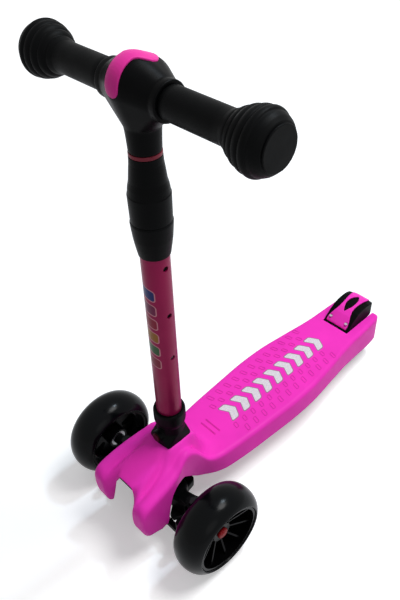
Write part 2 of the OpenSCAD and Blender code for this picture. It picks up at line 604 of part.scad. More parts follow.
module bearings(z0, z1) color([0.7, 0.7, 0.72])
    for (z = [z0, z1]) ring(z, z + bearing_w, axle_r + run / 5, bearing_r);
module left_bearings() wheel(1) bearings(bearing_in, bearing_out);
module right_bearings() wheel(-1) bearings(bearing_in, bearing_out);

module spacer(z0, z1) color([0.6, 0.6, 0.62]) ring(z0, z1, axle_r + run, axle_r + 2);
module left_bearing_spacer() wheel(1) spacer(bearing_in + bearing_w, bearing_out);
module right_bearing_spacer() wheel(-1) spacer(bearing_in + bearing_w, bearing_out);

module hub_cap() color([0.55, 0.03, 0.08]) difference() {
    z0 = bearing_out + bearing_w;
    translate([0, 0, z0]) rotate_extrude() polygon([[0, 0], [bearing_r + 2.6, 0], [bearing_r + 2.6, 1.4],
        [cap_r + 1.2, 1.6], [cap_r, 3], [cap_r - 0.8, 5], [cap_r - 3, 5.8], [0, 5.8]]);
    translate([0, 0, z0 - 1]) cylinder(h = 5.4, r = cap_r - 1.4);
}
module left_hub_cap() wheel(1) hub_cap();
module right_hub_cap() wheel(-1) hub_cap();

module light_ring() color([0.8, 0.85, 0.9]) ring(-12, -5.5, seat_r - 8, seat_r - 3);
module left_light_ring() wheel(1) light_ring();
module right_light_ring() wheel(-1) light_ring();

module rear_wheel() placed() translate([0, wheelbase, rear_z]) rotate([0, 90, 0]) children();
module rear_tyre() rear_wheel() color([0.1, 0.1, 0.11]) tyre_body(rear_r, rear_w, rear_seat_r, 12);
module rear_rim() rear_wheel() color([0.06, 0.06, 0.06]) {
    ring(-rear_w / 2 + 4, rear_w / 2 - 4, rear_seat_r - 3, rear_seat_r);
    ring(-3, 3, bearing_r + 2, rear_seat_r - 2);
    ring(-rear_hub_half, rear_hub_half, bearing_r, bearing_r + 3);
    for (k = [0 : 5], s = [-1, 1]) rotate(60 * k)
        block(bearing_r + 2, rear_seat_r - 2, -1.2, 1.2, min(s * 2, s * 9), max(s * 2, s * 9));
}
module rear_bearings() rear_wheel() bearings(-rear_hub_half, rear_hub_half - bearing_w);
module rear_bearing_spacer() rear_wheel() spacer(-rear_hub_half + bearing_w, rear_hub_half - bearing_w);

// ---- Tail ----
bracket_x = slot_half + slot_wall;
bracket_t = 2;
module rear_bracket() placed() color([0.45, 0.45, 0.48]) difference() {
    for (s = [-1, 1]) {
        block(min(s * bracket_x, s * (bracket_x + bracket_t)), max(s * bracket_x, s * (bracket_x + bracket_t)),
            wheelbase - 29.5, wheelbase + 12, rear_z - 8, rear_z + 26);
        block(min(s * bracket_x, s * (bracket_x + 8)), max(s * bracket_x, s * (bracket_x + 8)),
            wheelbase - 28, wheelbase - 16, rear_z + 24, rear_z + 26);
    }
    bar_x(-60, 60, wheelbase, rear_z, axle_r);
    for (s = [-1, 1]) bar_z(rear_z + 20, rear_z + 30, s * 30.4, wheelbase - 22, screw_r, $fn = 24);
}

module rear_axle_bolt() placed() color([0.6, 0.6, 0.62]) {
    bar_x(-bracket_x - bracket_t - 4, bracket_x + bracket_t, wheelbase, rear_z, axle_r);
    bar_x(bracket_x + bracket_t, bracket_x + bracket_t + 3.4, wheelbase, rear_z, 6.6, $fn = 6);
}
module rear_axle_nut() placed() color([0.6, 0.6, 0.62]) difference() {
    bar_x(-bracket_x - bracket_t - 3.6, -bracket_x - bracket_t, wheelbase, rear_z, 6.6, $fn = 6);
    bar_x(-bracket_x - bracket_t - 5, 0, wheelbase, rear_z, axle_r);
}
module rear_axle_spacers() placed() color([0.6, 0.6, 0.62]) difference() {
    for (s = [-1, 1])
        bar_x(min(s * (rear_hub_half + 0.3), s * slot_half), max(s * (rear_hub_half + 0.3), s * slot_half),
            wheelbase, rear_z, axle_r + 2.5);
    bar_x(-60, 60, wheelbase, rear_z, axle_r);
}

module brake_pivot_pin() placed() color([0.6, 0.6, 0.62])
    bar_x(-slot_half - 2, slot_half + 2, brake_y, brake_z, brake_pin_r);

// torsion spring: coils round the pin with one leg under the fender and one on the slot wall
module brake_spring() placed() color([0.65, 0.65, 0.68]) {
    for (k = [0 : 5])
        translate([-12 + 1.7 * k, brake_y, brake_z]) rotate([0, 90, 0])
            rotate_extrude($fn = 32) translate([brake_pin_r + 1, 0]) circle(r = 0.8, $fn = 16);
}

// ---- Brake: side outlines are [y, z] measured from the rear axle and the deck's top ----
fender_top = brake_top - 2;
rise = fender_top - deck_top;
crest = [[-37.4, -1], [-34, 0.14 * rise], [-28, 0.36 * rise], [-21, 0.62 * rise], [-12, 0.85 * rise],
         [-2, 0.97 * rise], [8, rise], [17, 0.98 * rise], [26, 0.88 * rise], [33, 0.68 * rise], [38, 0.4 * rise]];
module side_outline(points, half) {
    translate([-half, wheelbase, deck_top]) rotate([90, 0, 90]) linear_extrude(2 * half) polygon(points);
}
function lowered(d) = [for (p = crest) [p[0], p[1] - d]];
module fender_plan(half) {
    r = 17;
    translate([0, 0, deck_top - 20]) linear_extrude(60) union() {
        translate([-half, slot_y]) square([2 * half, fender_back - r - slot_y]);
        for (s = [-1, 1]) translate([s * (half - r), fender_back - r]) circle(r = r);
        translate([-half + r, fender_back - 2 * r]) square([2 * (half - r), 2 * r]);
    }
}
module brake_fender() placed() color([0.08, 0.08, 0.085]) difference() {
    union() {
        intersection() {
            side_outline(concat([for (p = crest) p], [[38, 5], [28, 0], [12, -3], [-28, -4], [-29, -9.5], [-37.4, -9.5]]),
                brake_w / 2);
            fender_plan(brake_w / 2);
        }
    }
    difference() {
        intersection() {
            side_outline(concat(lowered(3.2), [[38, -20], [-29, -20], [-29, -4]]), brake_w / 2 - 2.6);
            translate([0, -3, 0]) fender_plan(brake_w / 2 - 2.6);
        }
        // block that rubs on the wheel when the brake is pressed
        block(-9, 9, wheelbase - 9, wheelbase + 7, deck_top, brake_top);
    }
    bar_x(-rear_w / 2 - 1, rear_w / 2 + 1, wheelbase, rear_z, rear_r + brake_gap, $fn = 96);
    bar_x(-30, 30, brake_y, brake_z, brake_pin_r + 0.1, $fn = 32);
    // room for the spring
    block(-13.6, -2, brake_y - 4.4, brake_y + 8, brake_z - 10, brake_z + 4.4);
    for (s = [-1, 1]) {
        bar_z(deck_top - 8, brake_top, s * 14.3, wheelbase - 30, 1.3);
        bar_z(deck_top + 0.29 * rise - 0.05, brake_top, s * 14.3, wheelbase - 30, 2.6);
    }
}

cover_plan = [[18.4, -35.2], [18.2, -30], [16.4, -25], [13.4, -19], [11.4, -12], [11, -6], [11.6, 2], [12.8, 12],
              [14, 22], [13.8, 30], [10, 35.5]];
window_half = 7;
window_l = 19;
module brake_cover() placed() color([0.96, 0.3, 0.75]) difference() {
    intersection() {
        side_outline(concat(lowered(-2), [for (k = [len(crest) - 1 : -1 : 0]) crest[k]]), brake_w / 2);
        translate([0, wheelbase, deck_top - 10]) linear_extrude(50)
            polygon(concat(cover_plan, [for (k = [len(cover_plan) - 1 : -1 : 0]) [-cover_plan[k][0], cover_plan[k][1]]]));
    }
    // pointed oval window
    arc = (window_half * window_half + window_l * window_l) / (2 * window_half);
    translate([0, wheelbase + 2, deck_top]) linear_extrude(40) intersection() {
        translate([arc - window_half, 0]) circle(r = arc, $fn = 96);
        translate([window_half - arc, 0]) circle(r = arc, $fn = 96);
    }
    for (s = [-1, 1]) bar_z(deck_top - 8, brake_top, s * 14.3, wheelbase - 30, 2.6);
}

module brake_screws() placed() color([0.7, 0.7, 0.72])
    for (s = [-1, 1]) {
        bar_z(deck_top + 0.29 * rise, deck_top + 0.29 * rise + 2.8, s * 14.3, wheelbase - 30, 2.5);
        bar_z(deck_top + 0.29 * rise - 5, deck_top + 0.29 * rise + 1, s * 14.3, wheelbase - 30, 1.3);
    }

// ---- Stem ----
module tube(z0, z1, r0, r1) translate([0, stem_y, 0]) ring(z0, z1, r0, r1);
module turned(points) translate([0, stem_y, 0]) rotate_extrude() polygon(points);

module release_button() placed() color([0.4, 0.04, 0.08]) {
    bar_y(base_y0 - 5, base_y0 - 1.2, 0, button_z, button_r);
    bar_y(base_y0 - 3, base_y0 + 1.9, 0, button_z, pin_r);
}

module lower_tube() placed() color([0.62, 0.12, 0.36]) difference() {
    tube(tube_bottom, tube_top, tube_r - tube_wall, tube_r);
    for (k = [0 : 2]) bar_x(5, 25, stem_y, hole_z + k * hole_pitch, hole_r);
}

module lower_sleeve() placed() color([0.08, 0.08, 0.08])
    turned([[tube_r, sleeve_z], [tube_r + 1.3, sleeve_z], [barrel_r - 2.8, sleeve_z + 10], [barrel_r - 1.4, sleeve_z + 20],
        [barrel_r - 0.5, collar_z - 9], [barrel_r, collar_z - 2], [barrel_r - 0.4, collar_z], [tube_r, collar_z]]);

module clamp_collet() placed() color([0.3, 0.3, 0.32]) difference() {
    tube(tube_top, tube_top + 36, inner_r + run, collet_r);
    for (a = [0, 90]) translate([0, stem_y, tube_top + 12]) rotate(a)
        translate([-20, -0.6, 0]) cube([40, 1.2, 30]);
}

module clamp_collar() placed() color([0.07, 0.07, 0.07]) difference() {
    z0 = collar_z + gap;
    z1 = ring_z - gap;
    step_z = z0 + 28;
    turned([[tube_r + gap, z0], [barrel_r - 0.6, z0], [barrel_r - 0.2, step_z], [barrel_r - 0.7, step_z + 1.2],
        [barrel_r - 1.6, step_z + 8], [barrel_r - 3, step_z + 14], [tube_r + 1.7, z1 - 15], [tube_r + 0.7, z1 - 7],
        [tube_r + 0.4, z1], [inner_r + gap, z1], [inner_r + gap, tube_top + 37], [tube_r + gap, tube_top + 36.6]]);
    // finger flutes
    for (a = [0 : 60 : 300]) translate([0, stem_y, 0]) rotate(a)
        translate([barrel_r + 2.2, 0, step_z + 3]) cylinder(h = 40, r = 3.4);
}

module inner_tube() placed() color([0.7, 0.7, 0.72]) difference() {
    tube(inner_bottom, handle_z - cross_r - 3, inner_r - inner_wall, inner_r);
    bar_x(0, 25, stem_y, hole_z, snap_r + 0.3);
    bar_y(stem_y, stem_y + 25, 0, handle_z - 27, screw_r + 0.6);
}

module snap_button() placed() color([0.7, 0.7, 0.72]) {
    flange_x = inner_r - inner_wall - 1.2;
    bar_x(flange_x - 0.5, tube_r - tube_wall - 0.6, stem_y, hole_z, snap_r);
    bar_x(flange_x - 2.4, flange_x, stem_y, hole_z, snap_r + 1.7);
    bar_x(-3, flange_x - 2, stem_y, hole_z, 1.5);
}

module neck_ring() placed() color([0.55, 0.1, 0.12])
    turned([[inner_r, ring_z], [tube_r + 0.1, ring_z], [tube_r + 0.4, ring_z + 0.6],
        [tube_r + 0.4, ring_z + ring_h - 0.6], [tube_r + 0.1, ring_z + ring_h], [inner_r, ring_z + ring_h]]);

// ---- Handlebar ----
module hub_ball(r) translate([0, hub_y, hub_z]) rotate([-90 - atan(hub_drop / hub_back), 0, 0])
    rotate_extrude() polygon([
        for (a = [-90 : 7.5 : 0]) [r * cos(a), r * sin(a)],
        for (a = [0 : 7.5 : 90]) [r * cos(a), norm([hub_back, hub_drop]) + r * sin(a)]
    ]);
// band over the hub in the middle plane, from the front over the top to the back
module trim_band(r0, r1) intersection() {
    difference() {
        hub_ball(r1);
        hub_ball(r0);
    }
    union() {
        translate([-trim_w / 2, hub_y, hub_z]) rotate([90, 0, 90]) linear_extrude(trim_w)
            polygon([for (a = [85 : 15 : 175]) [3 * hub_r * cos(a), 3 * hub_r * sin(a)], [0, 0]]);
        // rounded front end
        translate([0, hub_y, hub_z]) rotate([-5, 0, 0]) bar_y(-3 * hub_r, 0, 0, 0, trim_w / 2 - 0.2);
        // it widens over the top
        translate([0, hub_y, hub_z]) linear_extrude(2 * hub_r)
            polygon([for (p = trim_top) p, for (k = [len(trim_top) - 1 : -1 : 0]) [-trim_top[k][0], trim_top[k][1]]]);
    }
}
module t_housing() placed() color([0.07, 0.07, 0.075]) difference() {
    union() {
        hull() {
            hub_ball(hub_r);
            bar_x(-collar_x + collar_w, collar_x - collar_w, stem_y, handle_z, collar_r - 0.9, $fn = 40);
            bar_z(housing_z + 24, housing_z + 26, 0, stem_y, tube_r + 1.6, $fn = 40);
        }
        turned([[0, housing_z], [tube_r + 0.1, housing_z], [tube_r + 0.4, housing_z + 8], [tube_r + 1, housing_z + 18],
            [tube_r + 1.6, housing_z + 24], [tube_r + 1.6, housing_z + 26], [0, housing_z + 26]]);
        bar_x(-collar_x, collar_x, stem_y, handle_z, collar_r - 1.4);
        for (s = [-1, 1]) {
            x0 = s * (collar_x - collar_w);
            x1 = s * collar_x;
            bar_x(min(x0, x1), max(x0, x1), stem_y, handle_z, collar_r);
        }
    }
    trim_band(hub_r - 1.4, hub_r + 8);
    bar_x(-collar_x - 1, collar_x + 1, stem_y, handle_z, cross_r);
    bar_z(housing_z - 1, handle_z - cross_r - 3, 0, stem_y, inner_r);
    bar_y(stem_y, stem_y + 60, 0, handle_z - 27, screw_r + 0.6);
    bar_y(stem_y + 16, stem_y + 60, 0, handle_z - 27, 4.4);
}

module housing_trim() placed() color([0.85, 0.25, 0.6]) trim_band(hub_r - 1.4, hub_r + trim_h);

module housing_screw() placed() color([0.5, 0.5, 0.52]) difference() {
    union() {
        bar_y(stem_y + inner_r - inner_wall - 1, stem_y + 16.5, 0, handle_z - 27, screw_r + 0.6);
        bar_y(stem_y + 16, stem_y + 19, 0, handle_z - 27, 4.2);
    }
    bar_y(stem_y + 17.4, stem_y + 20, 0, handle_z - 27, 2, $fn = 6);
}

module cross_tube() placed() color([0.7, 0.7, 0.72]) difference() {
    bar_x(-grip_x1, grip_x1, stem_y, handle_z, cross_r);
    bar_x(-grip_x1 - 1, grip_x1 + 1, stem_y, handle_z, cross_r - 1.5);
}

// swelling of the ball end along its length, and its rounded ridges
swell = [[0, 0], [0.13, 0.2], [0.22, 0.42], [0.31, 0.6], [0.4, 0.75], [0.5, 0.88], [0.6, 0.96], [0.7, 1],
         [0.78, 0.99], [0.86, 0.92], [0.93, 0.79], [1, 0.56]];
function ball_profile(t) =
    grip_r + (ball_r - grip_r) * lookup(t, swell)
    - 1.8 * ease(0.05, 0.15, t) * (1 - sqrt(abs(sin(180 * ridges * min(t, 0.8) / 0.8))));
module grip(s) placed() translate([0, stem_y, handle_z]) rotate([0, 90 * s, 0]) color([0.1, 0.1, 0.1])
    rotate_extrude() polygon([
        [cross_r, grip_x0], [grip_r - 0.6, grip_x0], [grip_r, grip_x0 + 1],
        for (k = [0 : 40]) let (t = k / 40) [ball_profile(t), grip_x1 - ball_l * (1 - t)],
        [cross_r, grip_x1]
    ]);
module left_grip() { grip(1); }
module right_grip() { grip(-1); }

module grip_end_caps() placed() color([0.1, 0.1, 0.1])
    for (s = [-1, 1]) translate([0, stem_y, handle_z]) rotate([0, 90 * s, 0]) {
        translate([0, 0, grip_x1 - 10]) cylinder(h = 10, r = cross_r - 1.5);
        translate([0, 0, grip_x1]) cylinder(h = cap_h, r = end_r);
    }

deck_shell();
front_carrier();
stem_socket();
deck_screws();
truck_pivot_bolt();
truck_pivot_nut();
steering_pin();
return_buffers();
rear_bracket();
rear_axle_bolt();
rear_axle_nut();
rear_axle_spacers();
brake_pivot_pin();
brake_spring();
release_button();
truck_beam();
truck_bushes();
truck_bolts();
kingpin_nuts();
steering_lever();
tie_rod();
left_knuckle();
left_axle_bolt();
left_kingpin_bush();
right_knuckle();
right_axle_bolt();
right_kingpin_bush();
left_tyre();
left_rim();
left_bearings();
left_bearing_spacer();
left_hub_cap();
left_light_ring();
right_tyre();
right_rim();
right_bearings();
right_bearing_spacer();
right_hub_cap();
right_light_ring();
rear_tyre();
rear_rim();
rear_bearings();
rear_bearing_spacer();
brake_fender();
brake_cover();
brake_screws();
lower_tube();
lower_sleeve();
clamp_collet();
clamp_collar();
inner_tube();
t_housing();
housing_trim();
neck_ring();
cross_tube();
left_grip();
right_grip();
grip_end_caps();
housing_screw();
snap_button();
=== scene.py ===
"""Looks of the child's three-wheel scooter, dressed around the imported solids."""
import json
import math

import bmesh
import bpy
import numpy as np
from mathutils import Matrix, Vector


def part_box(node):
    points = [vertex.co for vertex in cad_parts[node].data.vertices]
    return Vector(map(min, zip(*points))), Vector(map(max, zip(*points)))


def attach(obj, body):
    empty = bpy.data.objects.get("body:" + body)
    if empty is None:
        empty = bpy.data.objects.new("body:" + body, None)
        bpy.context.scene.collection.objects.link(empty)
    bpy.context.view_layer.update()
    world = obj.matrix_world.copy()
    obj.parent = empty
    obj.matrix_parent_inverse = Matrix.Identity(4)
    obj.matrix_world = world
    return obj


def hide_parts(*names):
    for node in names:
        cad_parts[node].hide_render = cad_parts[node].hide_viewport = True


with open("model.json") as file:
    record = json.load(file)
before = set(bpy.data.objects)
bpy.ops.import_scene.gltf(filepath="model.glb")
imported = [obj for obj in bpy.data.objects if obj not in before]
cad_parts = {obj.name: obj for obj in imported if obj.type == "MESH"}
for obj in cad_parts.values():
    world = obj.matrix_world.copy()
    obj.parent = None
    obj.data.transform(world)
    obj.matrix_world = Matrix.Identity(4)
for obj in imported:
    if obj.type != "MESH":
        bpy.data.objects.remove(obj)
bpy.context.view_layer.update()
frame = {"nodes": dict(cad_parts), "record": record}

MM = 0.001


def middle(node):
    """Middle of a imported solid's box, in metres."""
    lo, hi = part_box(node)
    return (lo + hi) / 2


def span(node, axis):
    """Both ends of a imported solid's box along an axis, in millimetres."""
    lo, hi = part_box(node)
    return lo[axis] / MM, hi[axis] / MM


def wheel_size(node):
    """Radius and width of a packed tyre that stands on the ground, in millimetres."""
    x0, x1 = span(node, 0)
    return span(node, 2)[1] / 2, x1 - x0


# The front axle in the row frame, in metres
AXLE_Y = middle("left_tyre").y
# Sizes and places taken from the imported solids, in millimetres from the middle of that axle
STEM_Y = (middle("lower_tube").y - AXLE_Y) / MM
REAR_Y = (middle("rear_tyre").y - AXLE_Y) / MM
TRACK = 2 * middle("left_tyre").x / MM
FRONT_R, FRONT_W = wheel_size("left_tyre")
REAR_R, REAR_W = wheel_size("rear_tyre")
GRIP_X0, GRIP_X1 = span("left_grip", 0)
DECK_TOP = frame["record"]["mounts"][0]["pos_m"][2] / MM
BAR_Z = middle("cross_tube").z / MM


def place(p):
    """A point of the axle frame, in millimetres, in the row frame."""
    return Vector((p[0] * MM, p[1] * MM + AXLE_Y, p[2] * MM))


# ---------------------------------------------------------------- meshes

def added(name, data):
    """A new object in the scene."""
    obj = bpy.data.objects.new(name, data)
    bpy.context.scene.collection.objects.link(obj)
    return obj


def piece(name, body, verts, faces, sharp=35.0):
    """A mesh in the row frame that rides on a body, smooth but for its sharp edges."""
    mesh = bpy.data.meshes.new(name)
    mesh.from_pydata([place(v) for v in verts], [], faces)
    mesh.validate()
    bm = bmesh.new()
    bm.from_mesh(mesh)
    bmesh.ops.remove_doubles(bm, verts=bm.verts, dist=1e-6)
    bmesh.ops.recalc_face_normals(bm, faces=bm.faces)
    bm.to_mesh(mesh)
    bm.free()
    mesh.shade_smooth()
    mesh.set_sharp_from_angle(angle=math.radians(sharp))
    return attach(added(name, mesh), body)


def revolved(profile, centre, axis, steps):
    """Vertices and faces of a closed profile of [radius, distance along the axis] turned round
    an axis, given as "x", "-x" or "z"."""
    verts, faces = [], []
    n = len(profile)
    for i in range(steps):
        a = 2 * math.pi * i / steps
        c, s = math.cos(a), math.sin(a)
        for r, t in profile:
            if axis == "z":
                v = (r * c, r * s, t)
            else:
                v = (t if axis == "x" else -t, r * c, r * s)
            verts.append(tuple(v[k] + centre[k] for k in range(3)))
    for i in range(steps):
        j = (i + 1) % steps
        for k in range(n):
            m = (k + 1) % n
            faces.append((i * n + k, j * n + k, j * n + m, i * n + m))
    return verts, faces


def modifier(obj, kind, **values):
    m = obj.modifiers.new(kind.title(), kind)
    for key, value in values.items():
        setattr(m, key, value)


def eased(obj, width):
    """Rounds the sharp edges of a moulded piece by this width in millimetres."""
    modifier(obj, "BEVEL", width=width * MM, segments=3, limit_method="ANGLE", angle_limit=math.radians(50))


# ---------------------------------------------------------------- materials

class Shade:
    """A node material being built: each method adds nodes and returns a socket."""

    def __init__(self, name):
        self.mat = bpy.data.materials.new(name)
        self.mat.use_nodes = True
        self.tree = self.mat.node_tree
        self.surface = self.tree.nodes["Principled BSDF"]
        self.where = self.tree.nodes.new("ShaderNodeTexCoord").outputs["Object"]

    def node(self, kind, inputs=None, **values):
        n = self.tree.nodes.new(kind)
        for key, value in values.items():
            setattr(n, key, value)
        for key, value in (inputs or {}).items():
            self.put(n.inputs[key], value)
        return n

    def put(self, socket, value):
        if isinstance(value, bpy.types.NodeSocket):
            self.tree.links.new(value, socket)
        else:
            socket.default_value = value

    def math(self, op, *args):
        n = self.node("ShaderNodeMath", operation=op)
        for socket, value in zip(n.inputs, args):
            self.put(socket, value)
        return n.outputs[0]

    def noise(self, scale, detail=2.0):
        n = self.node("ShaderNodeTexNoise", {"Scale": scale, "Detail": detail, "Vector": self.where})
        return n.outputs["Fac"]

    def ramp(self, value, low, high, a=0.0, b=1.0):
        """value from low to high, mapped to a to b and held at both ends."""
        n = self.node("ShaderNodeMapRange", {"Value": value, "From Min": low, "From Max": high,
                                             "To Min": a, "To Max": b})
        return n.outputs["Result"]

    def mix(self, share, a, b):
        n = self.node("ShaderNodeMix", data_type="RGBA")
        self.put(n.inputs["Factor"], share)
        self.put(n.inputs[6], (*a, 1) if isinstance(a, tuple) else a)
        self.put(n.inputs[7], (*b, 1) if isinstance(b, tuple) else b)
        return n.outputs[2]

    def bump(self, height, distance, strength, under=None):
        n = self.node("ShaderNodeBump", {"Height": height, "Distance": distance, "Strength": strength})
        if under is not None:
            self.put(n.inputs["Normal"], under)
        return n.outputs["Normal"]

    def axes(self):
        """x, y and z in millimetres of the axle frame."""
        n = self.node("ShaderNodeSeparateXYZ", {"Vector": self.where})
        x = self.math("MULTIPLY", n.outputs["X"], 1 / MM)
        y = self.math("MULTIPLY", self.math("SUBTRACT", n.outputs["Y"], AXLE_Y), 1 / MM)
        z = self.math("MULTIPLY", n.outputs["Z"], 1 / MM)
        return x, y, z

    def rounded_box(self, x, y, half_x, half_y, r):
        """Distance from a rounded rectangle, below zero inside it."""
        qx = self.math("SUBTRACT", self.math("ABSOLUTE", x), half_x - r)
        qy = self.math("SUBTRACT", self.math("ABSOLUTE", y), half_y - r)
        ox, oy = self.math("MAXIMUM", qx, 0.0), self.math("MAXIMUM", qy, 0.0)
        squares = self.math("ADD", self.math("MULTIPLY", ox, ox), self.math("MULTIPLY", oy, oy))
        outside = self.math("SQRT", squares)
        inside = self.math("MINIMUM", self.math("MAXIMUM", qx, qy), 0.0)
        return self.math("SUBTRACT", self.math("ADD", outside, inside), r)

    def repeat(self, value, start, pitch):
        """value's distance from the middle of its cell, in cells of this pitch from start."""
        u = self.math("DIVIDE", self.math("SUBTRACT", value, start), pitch)
        return self.math("MULTIPLY", self.math("SUBTRACT", self.math("FRACT", u), 0.5), pitch)

    def below(self, value, edge, soft=0.25):
        """1 where value is under edge and 0 above it, with a soft step."""
        return self.ramp(value, edge - soft, edge + soft, 1.0, 0.0)

    def both(self, *masks):
        """1 where every mask is 1."""
        out = masks[0]
        for m in masks[1:]:
            out = self.math("MULTIPLY", out, m)
        return out


def tone(rgb, k):
    """A colour k times as light."""
    return tuple(min(1.0, c * k) for c in rgb)


# Noise scales of every surface, in cells a metre, and how deep its grain is, in metres
TONE_CELLS, GLOSS_CELLS, WEAR_CELLS = 22.0, 70.0, 260.0
GLOSS_SPREAD, GRAIN_DEPTH = 0.06, 0.00012


def surface(name, rgb, rough, drift, grain, grain_scale=1500.0, wear=0.0, wear_rgb=None, **sockets):
    """A moulded, cast or rolled surface: its tone and its gloss drift, a fine grain, worn edges."""
    s = Shade(name)
    slow = s.noise(TONE_CELLS, 3.0)
    colour = s.mix(s.ramp(slow, 0.3, 0.7), tone(rgb, 1 - drift), tone(rgb, 1 + drift))
    fine = s.noise(grain_scale, 1.0)
    if wear:
        point = s.node("ShaderNodeNewGeometry").outputs["Pointiness"]
        rubbed = s.math("MULTIPLY", s.ramp(point, 0.52, 0.6), s.ramp(s.noise(WEAR_CELLS), 0.4, 0.7, 0.3, 1.0))
        colour = s.mix(s.math("MULTIPLY", rubbed, wear), colour, wear_rgb)
    s.put(s.surface.inputs["Base Color"], colour)
    gloss = s.ramp(s.noise(GLOSS_CELLS, 4.0), 0.25, 0.75, rough - GLOSS_SPREAD, rough + GLOSS_SPREAD)
    s.put(s.surface.inputs["Roughness"], gloss)
    s.put(s.surface.inputs["Normal"], s.bump(fine, GRAIN_DEPTH, grain))
    for key, value in sockets.items():
        s.surface.inputs[key.replace("_", " ")].default_value = value
    s.colour = colour
    s.grain = s.surface.inputs["Normal"].links[0].from_socket
    return s


PINK = (0.86, 0.036, 0.485)

black = surface("black_moulding", (0.0015, 0.0016, 0.0018), 0.4, 0.25, grain=0.3, wear=0.2,
                wear_rgb=(0.010, 0.010, 0.011), Specular_IOR_Level=0.035)
rubber = surface("grip_rubber", (0.0018, 0.0020, 0.0022), 0.48, 0.25, grain=0.45, grain_scale=2600.0,
                 Specular_IOR_Level=0.04)
# The tyre's bluish cast in its base colour is painted reflection: it stands in for the cool sheen on the lit
# tyre
tyre = surface("tyre_rubber", (0.0012, 0.0016, 0.0021), 0.2, 0.25, grain=0.1, grain_scale=1900.0,
               Specular_IOR_Level=0.075)
rim_black = surface("rim_moulding", (0.0012, 0.0012, 0.0015), 0.24, 0.25, grain=0.1, Specular_IOR_Level=0.06)
steel = surface("zinc_steel", (0.42, 0.42, 0.44), 0.34, 0.12, grain=0.2, grain_scale=900.0, wear=0.3,
                wear_rgb=(0.7, 0.7, 0.72), Metallic=1.0)
dark_steel = surface("blackened_steel", (0.012, 0.012, 0.013), 0.42, 0.2, grain=0.2, Metallic=0.5,
                     Specular_IOR_Level=0.1)
alloy = surface("drawn_alloy", (0.6, 0.6, 0.62), 0.3, 0.08, grain=0.15, Metallic=1.0)
# Near-black alloy for the inner tube: painted shade, so that it reads dark wherever it shows inside the outer
# tube
alloy_dark_for_shade = surface("alloy_darkened_as_shade", (0.008, 0.008, 0.009), 0.35, 0.15, grain=0.15, Metallic=0.5,
                     Specular_IOR_Level=0.1)
nylon = surface("natural_nylon", (0.62, 0.62, 0.57), 0.45, 0.08, grain=0.2)
trim = surface("trim_moulding", (0.68, 0.032, 0.29), 0.42, 0.06, grain=0.14, Specular_IOR_Level=0.1)
cap_red = surface("red_cap", (0.27, 0.0025, 0.006), 0.3, 0.12, grain=0.1, Specular_IOR_Level=0.12)
button_red = surface("dark_red_button", (0.04, 0.0015, 0.003), 0.35, 0.15, grain=0.1, Specular_IOR_Level=0.1)
ring_red = surface("anodised_red", (0.15, 0.018, 0.03), 0.36, 0.15, grain=0.1, Metallic=0.2,
                   Specular_IOR_Level=0.1)
smoked = surface("smoked_lens", (0.004, 0.004, 0.005), 0.2, 0.2, grain=0.05, Specular_IOR_Level=0.15)
buffer = surface("buffer_rubber", (0.03, 0.03, 0.032), 0.6, 0.2, grain=0.4, Specular_IOR_Level=0.2)
cover_pink = surface("cover_moulding", PINK, 0.38, 0.06, grain=0.15, Specular_IOR_Level=0.12)
deck_side = surface("deck_underside", PINK, 0.44, 0.06, grain=0.25, Specular_IOR_Level=0.06)
# The raised marks are the deck's own pink made darker: painted shade along their low ridges
mark_pink_painted_shade = surface("deck_marking_painted_shade", tone(PINK, 0.8), 0.44, 0.06, grain=0.2, Specular_IOR_Level=0.1)

# Chevrons printed along the standing surface: where they start, how they repeat, and their
# outline, as half width, half length, corner radius, slant of their arms and width of the dark edge
PRINT_Y0, PRINT_PITCH, PRINTS = 124.0, 23.2, 9
PRINT_HALF, PRINT_DEEP, PRINT_ROUND, PRINT_SLANT, PRINT_EDGE = 14.0, 6.0, 2.6, 0.55, 1.3
PRINT_Y1 = PRINT_Y0 + PRINTS * PRINT_PITCH
INK_GREY, INK_PALE, INK_EDGE = (0.60, 0.55, 0.58), (0.76, 0.72, 0.75), (0.30, 0.13, 0.22)


def deck_material():
    s = surface("deck_moulding", PINK, 0.4, 0.05, grain=0.2, grain_scale=1300.0, Specular_IOR_Level=0.06)
    x, y, z = s.axes()
    side = s.math("ABSOLUTE", x)
    top = s.ramp(z, DECK_TOP - 1.5, DECK_TOP - 0.8)
    # chevrons that point forward, a whole number of them
    along = s.math("ADD", y, s.math("MULTIPLY", side, PRINT_SLANT))
    run = s.both(s.ramp(along, PRINT_Y0 - 0.1, PRINT_Y0), top,
                 s.ramp(along, PRINT_Y1, PRINT_Y1 + 0.1, 1.0, 0.0))
    cell = s.repeat(along, PRINT_Y0, PRINT_PITCH)
    chevron = s.rounded_box(x, cell, PRINT_HALF, PRINT_DEEP, PRINT_ROUND)
    print_mask = s.both(s.below(chevron, 0.0), run)
    edge_mask = s.both(s.below(chevron, PRINT_EDGE), run)
    colour = s.mix(edge_mask, s.colour, INK_EDGE)
    ink = s.mix(s.ramp(s.noise(900.0, 3.0), 0.35, 0.65), INK_GREY, INK_PALE)
    colour = s.mix(print_mask, colour, ink)
    s.put(s.surface.inputs["Base Color"], colour)
    s.put(s.surface.inputs["Normal"], s.bump(print_mask, 0.0001, 0.6, s.grain))
    return s


deck_skin_shade = deck_material()

# Coloured lozenges down the front of the painted tube: where they start, how they repeat, and
# their outline on the unrolled tube, as half width, half height, corner radius, slant and pale edge
PAINT_R = 15.2
STRIPE_Z0, STRIPE_PITCH = 258.0, 19.6
STRIPE_HALF, STRIPE_DEEP, STRIPE_ROUND, STRIPE_SLANT, STRIPE_EDGE = 10.0, 7.6, 4.0, 0.3, 1.2
STRIPE_EDGE_RGB = (0.42, 0.16, 0.2)
STRIPE_COLOURS = [(0.16, 0.012, 0.03), (0.03, 0.075, 0.03), (0.22, 0.09, 0.015), (0.19, 0.01, 0.03),
                  (0.12, 0.012, 0.05), (0.012, 0.018, 0.1)]


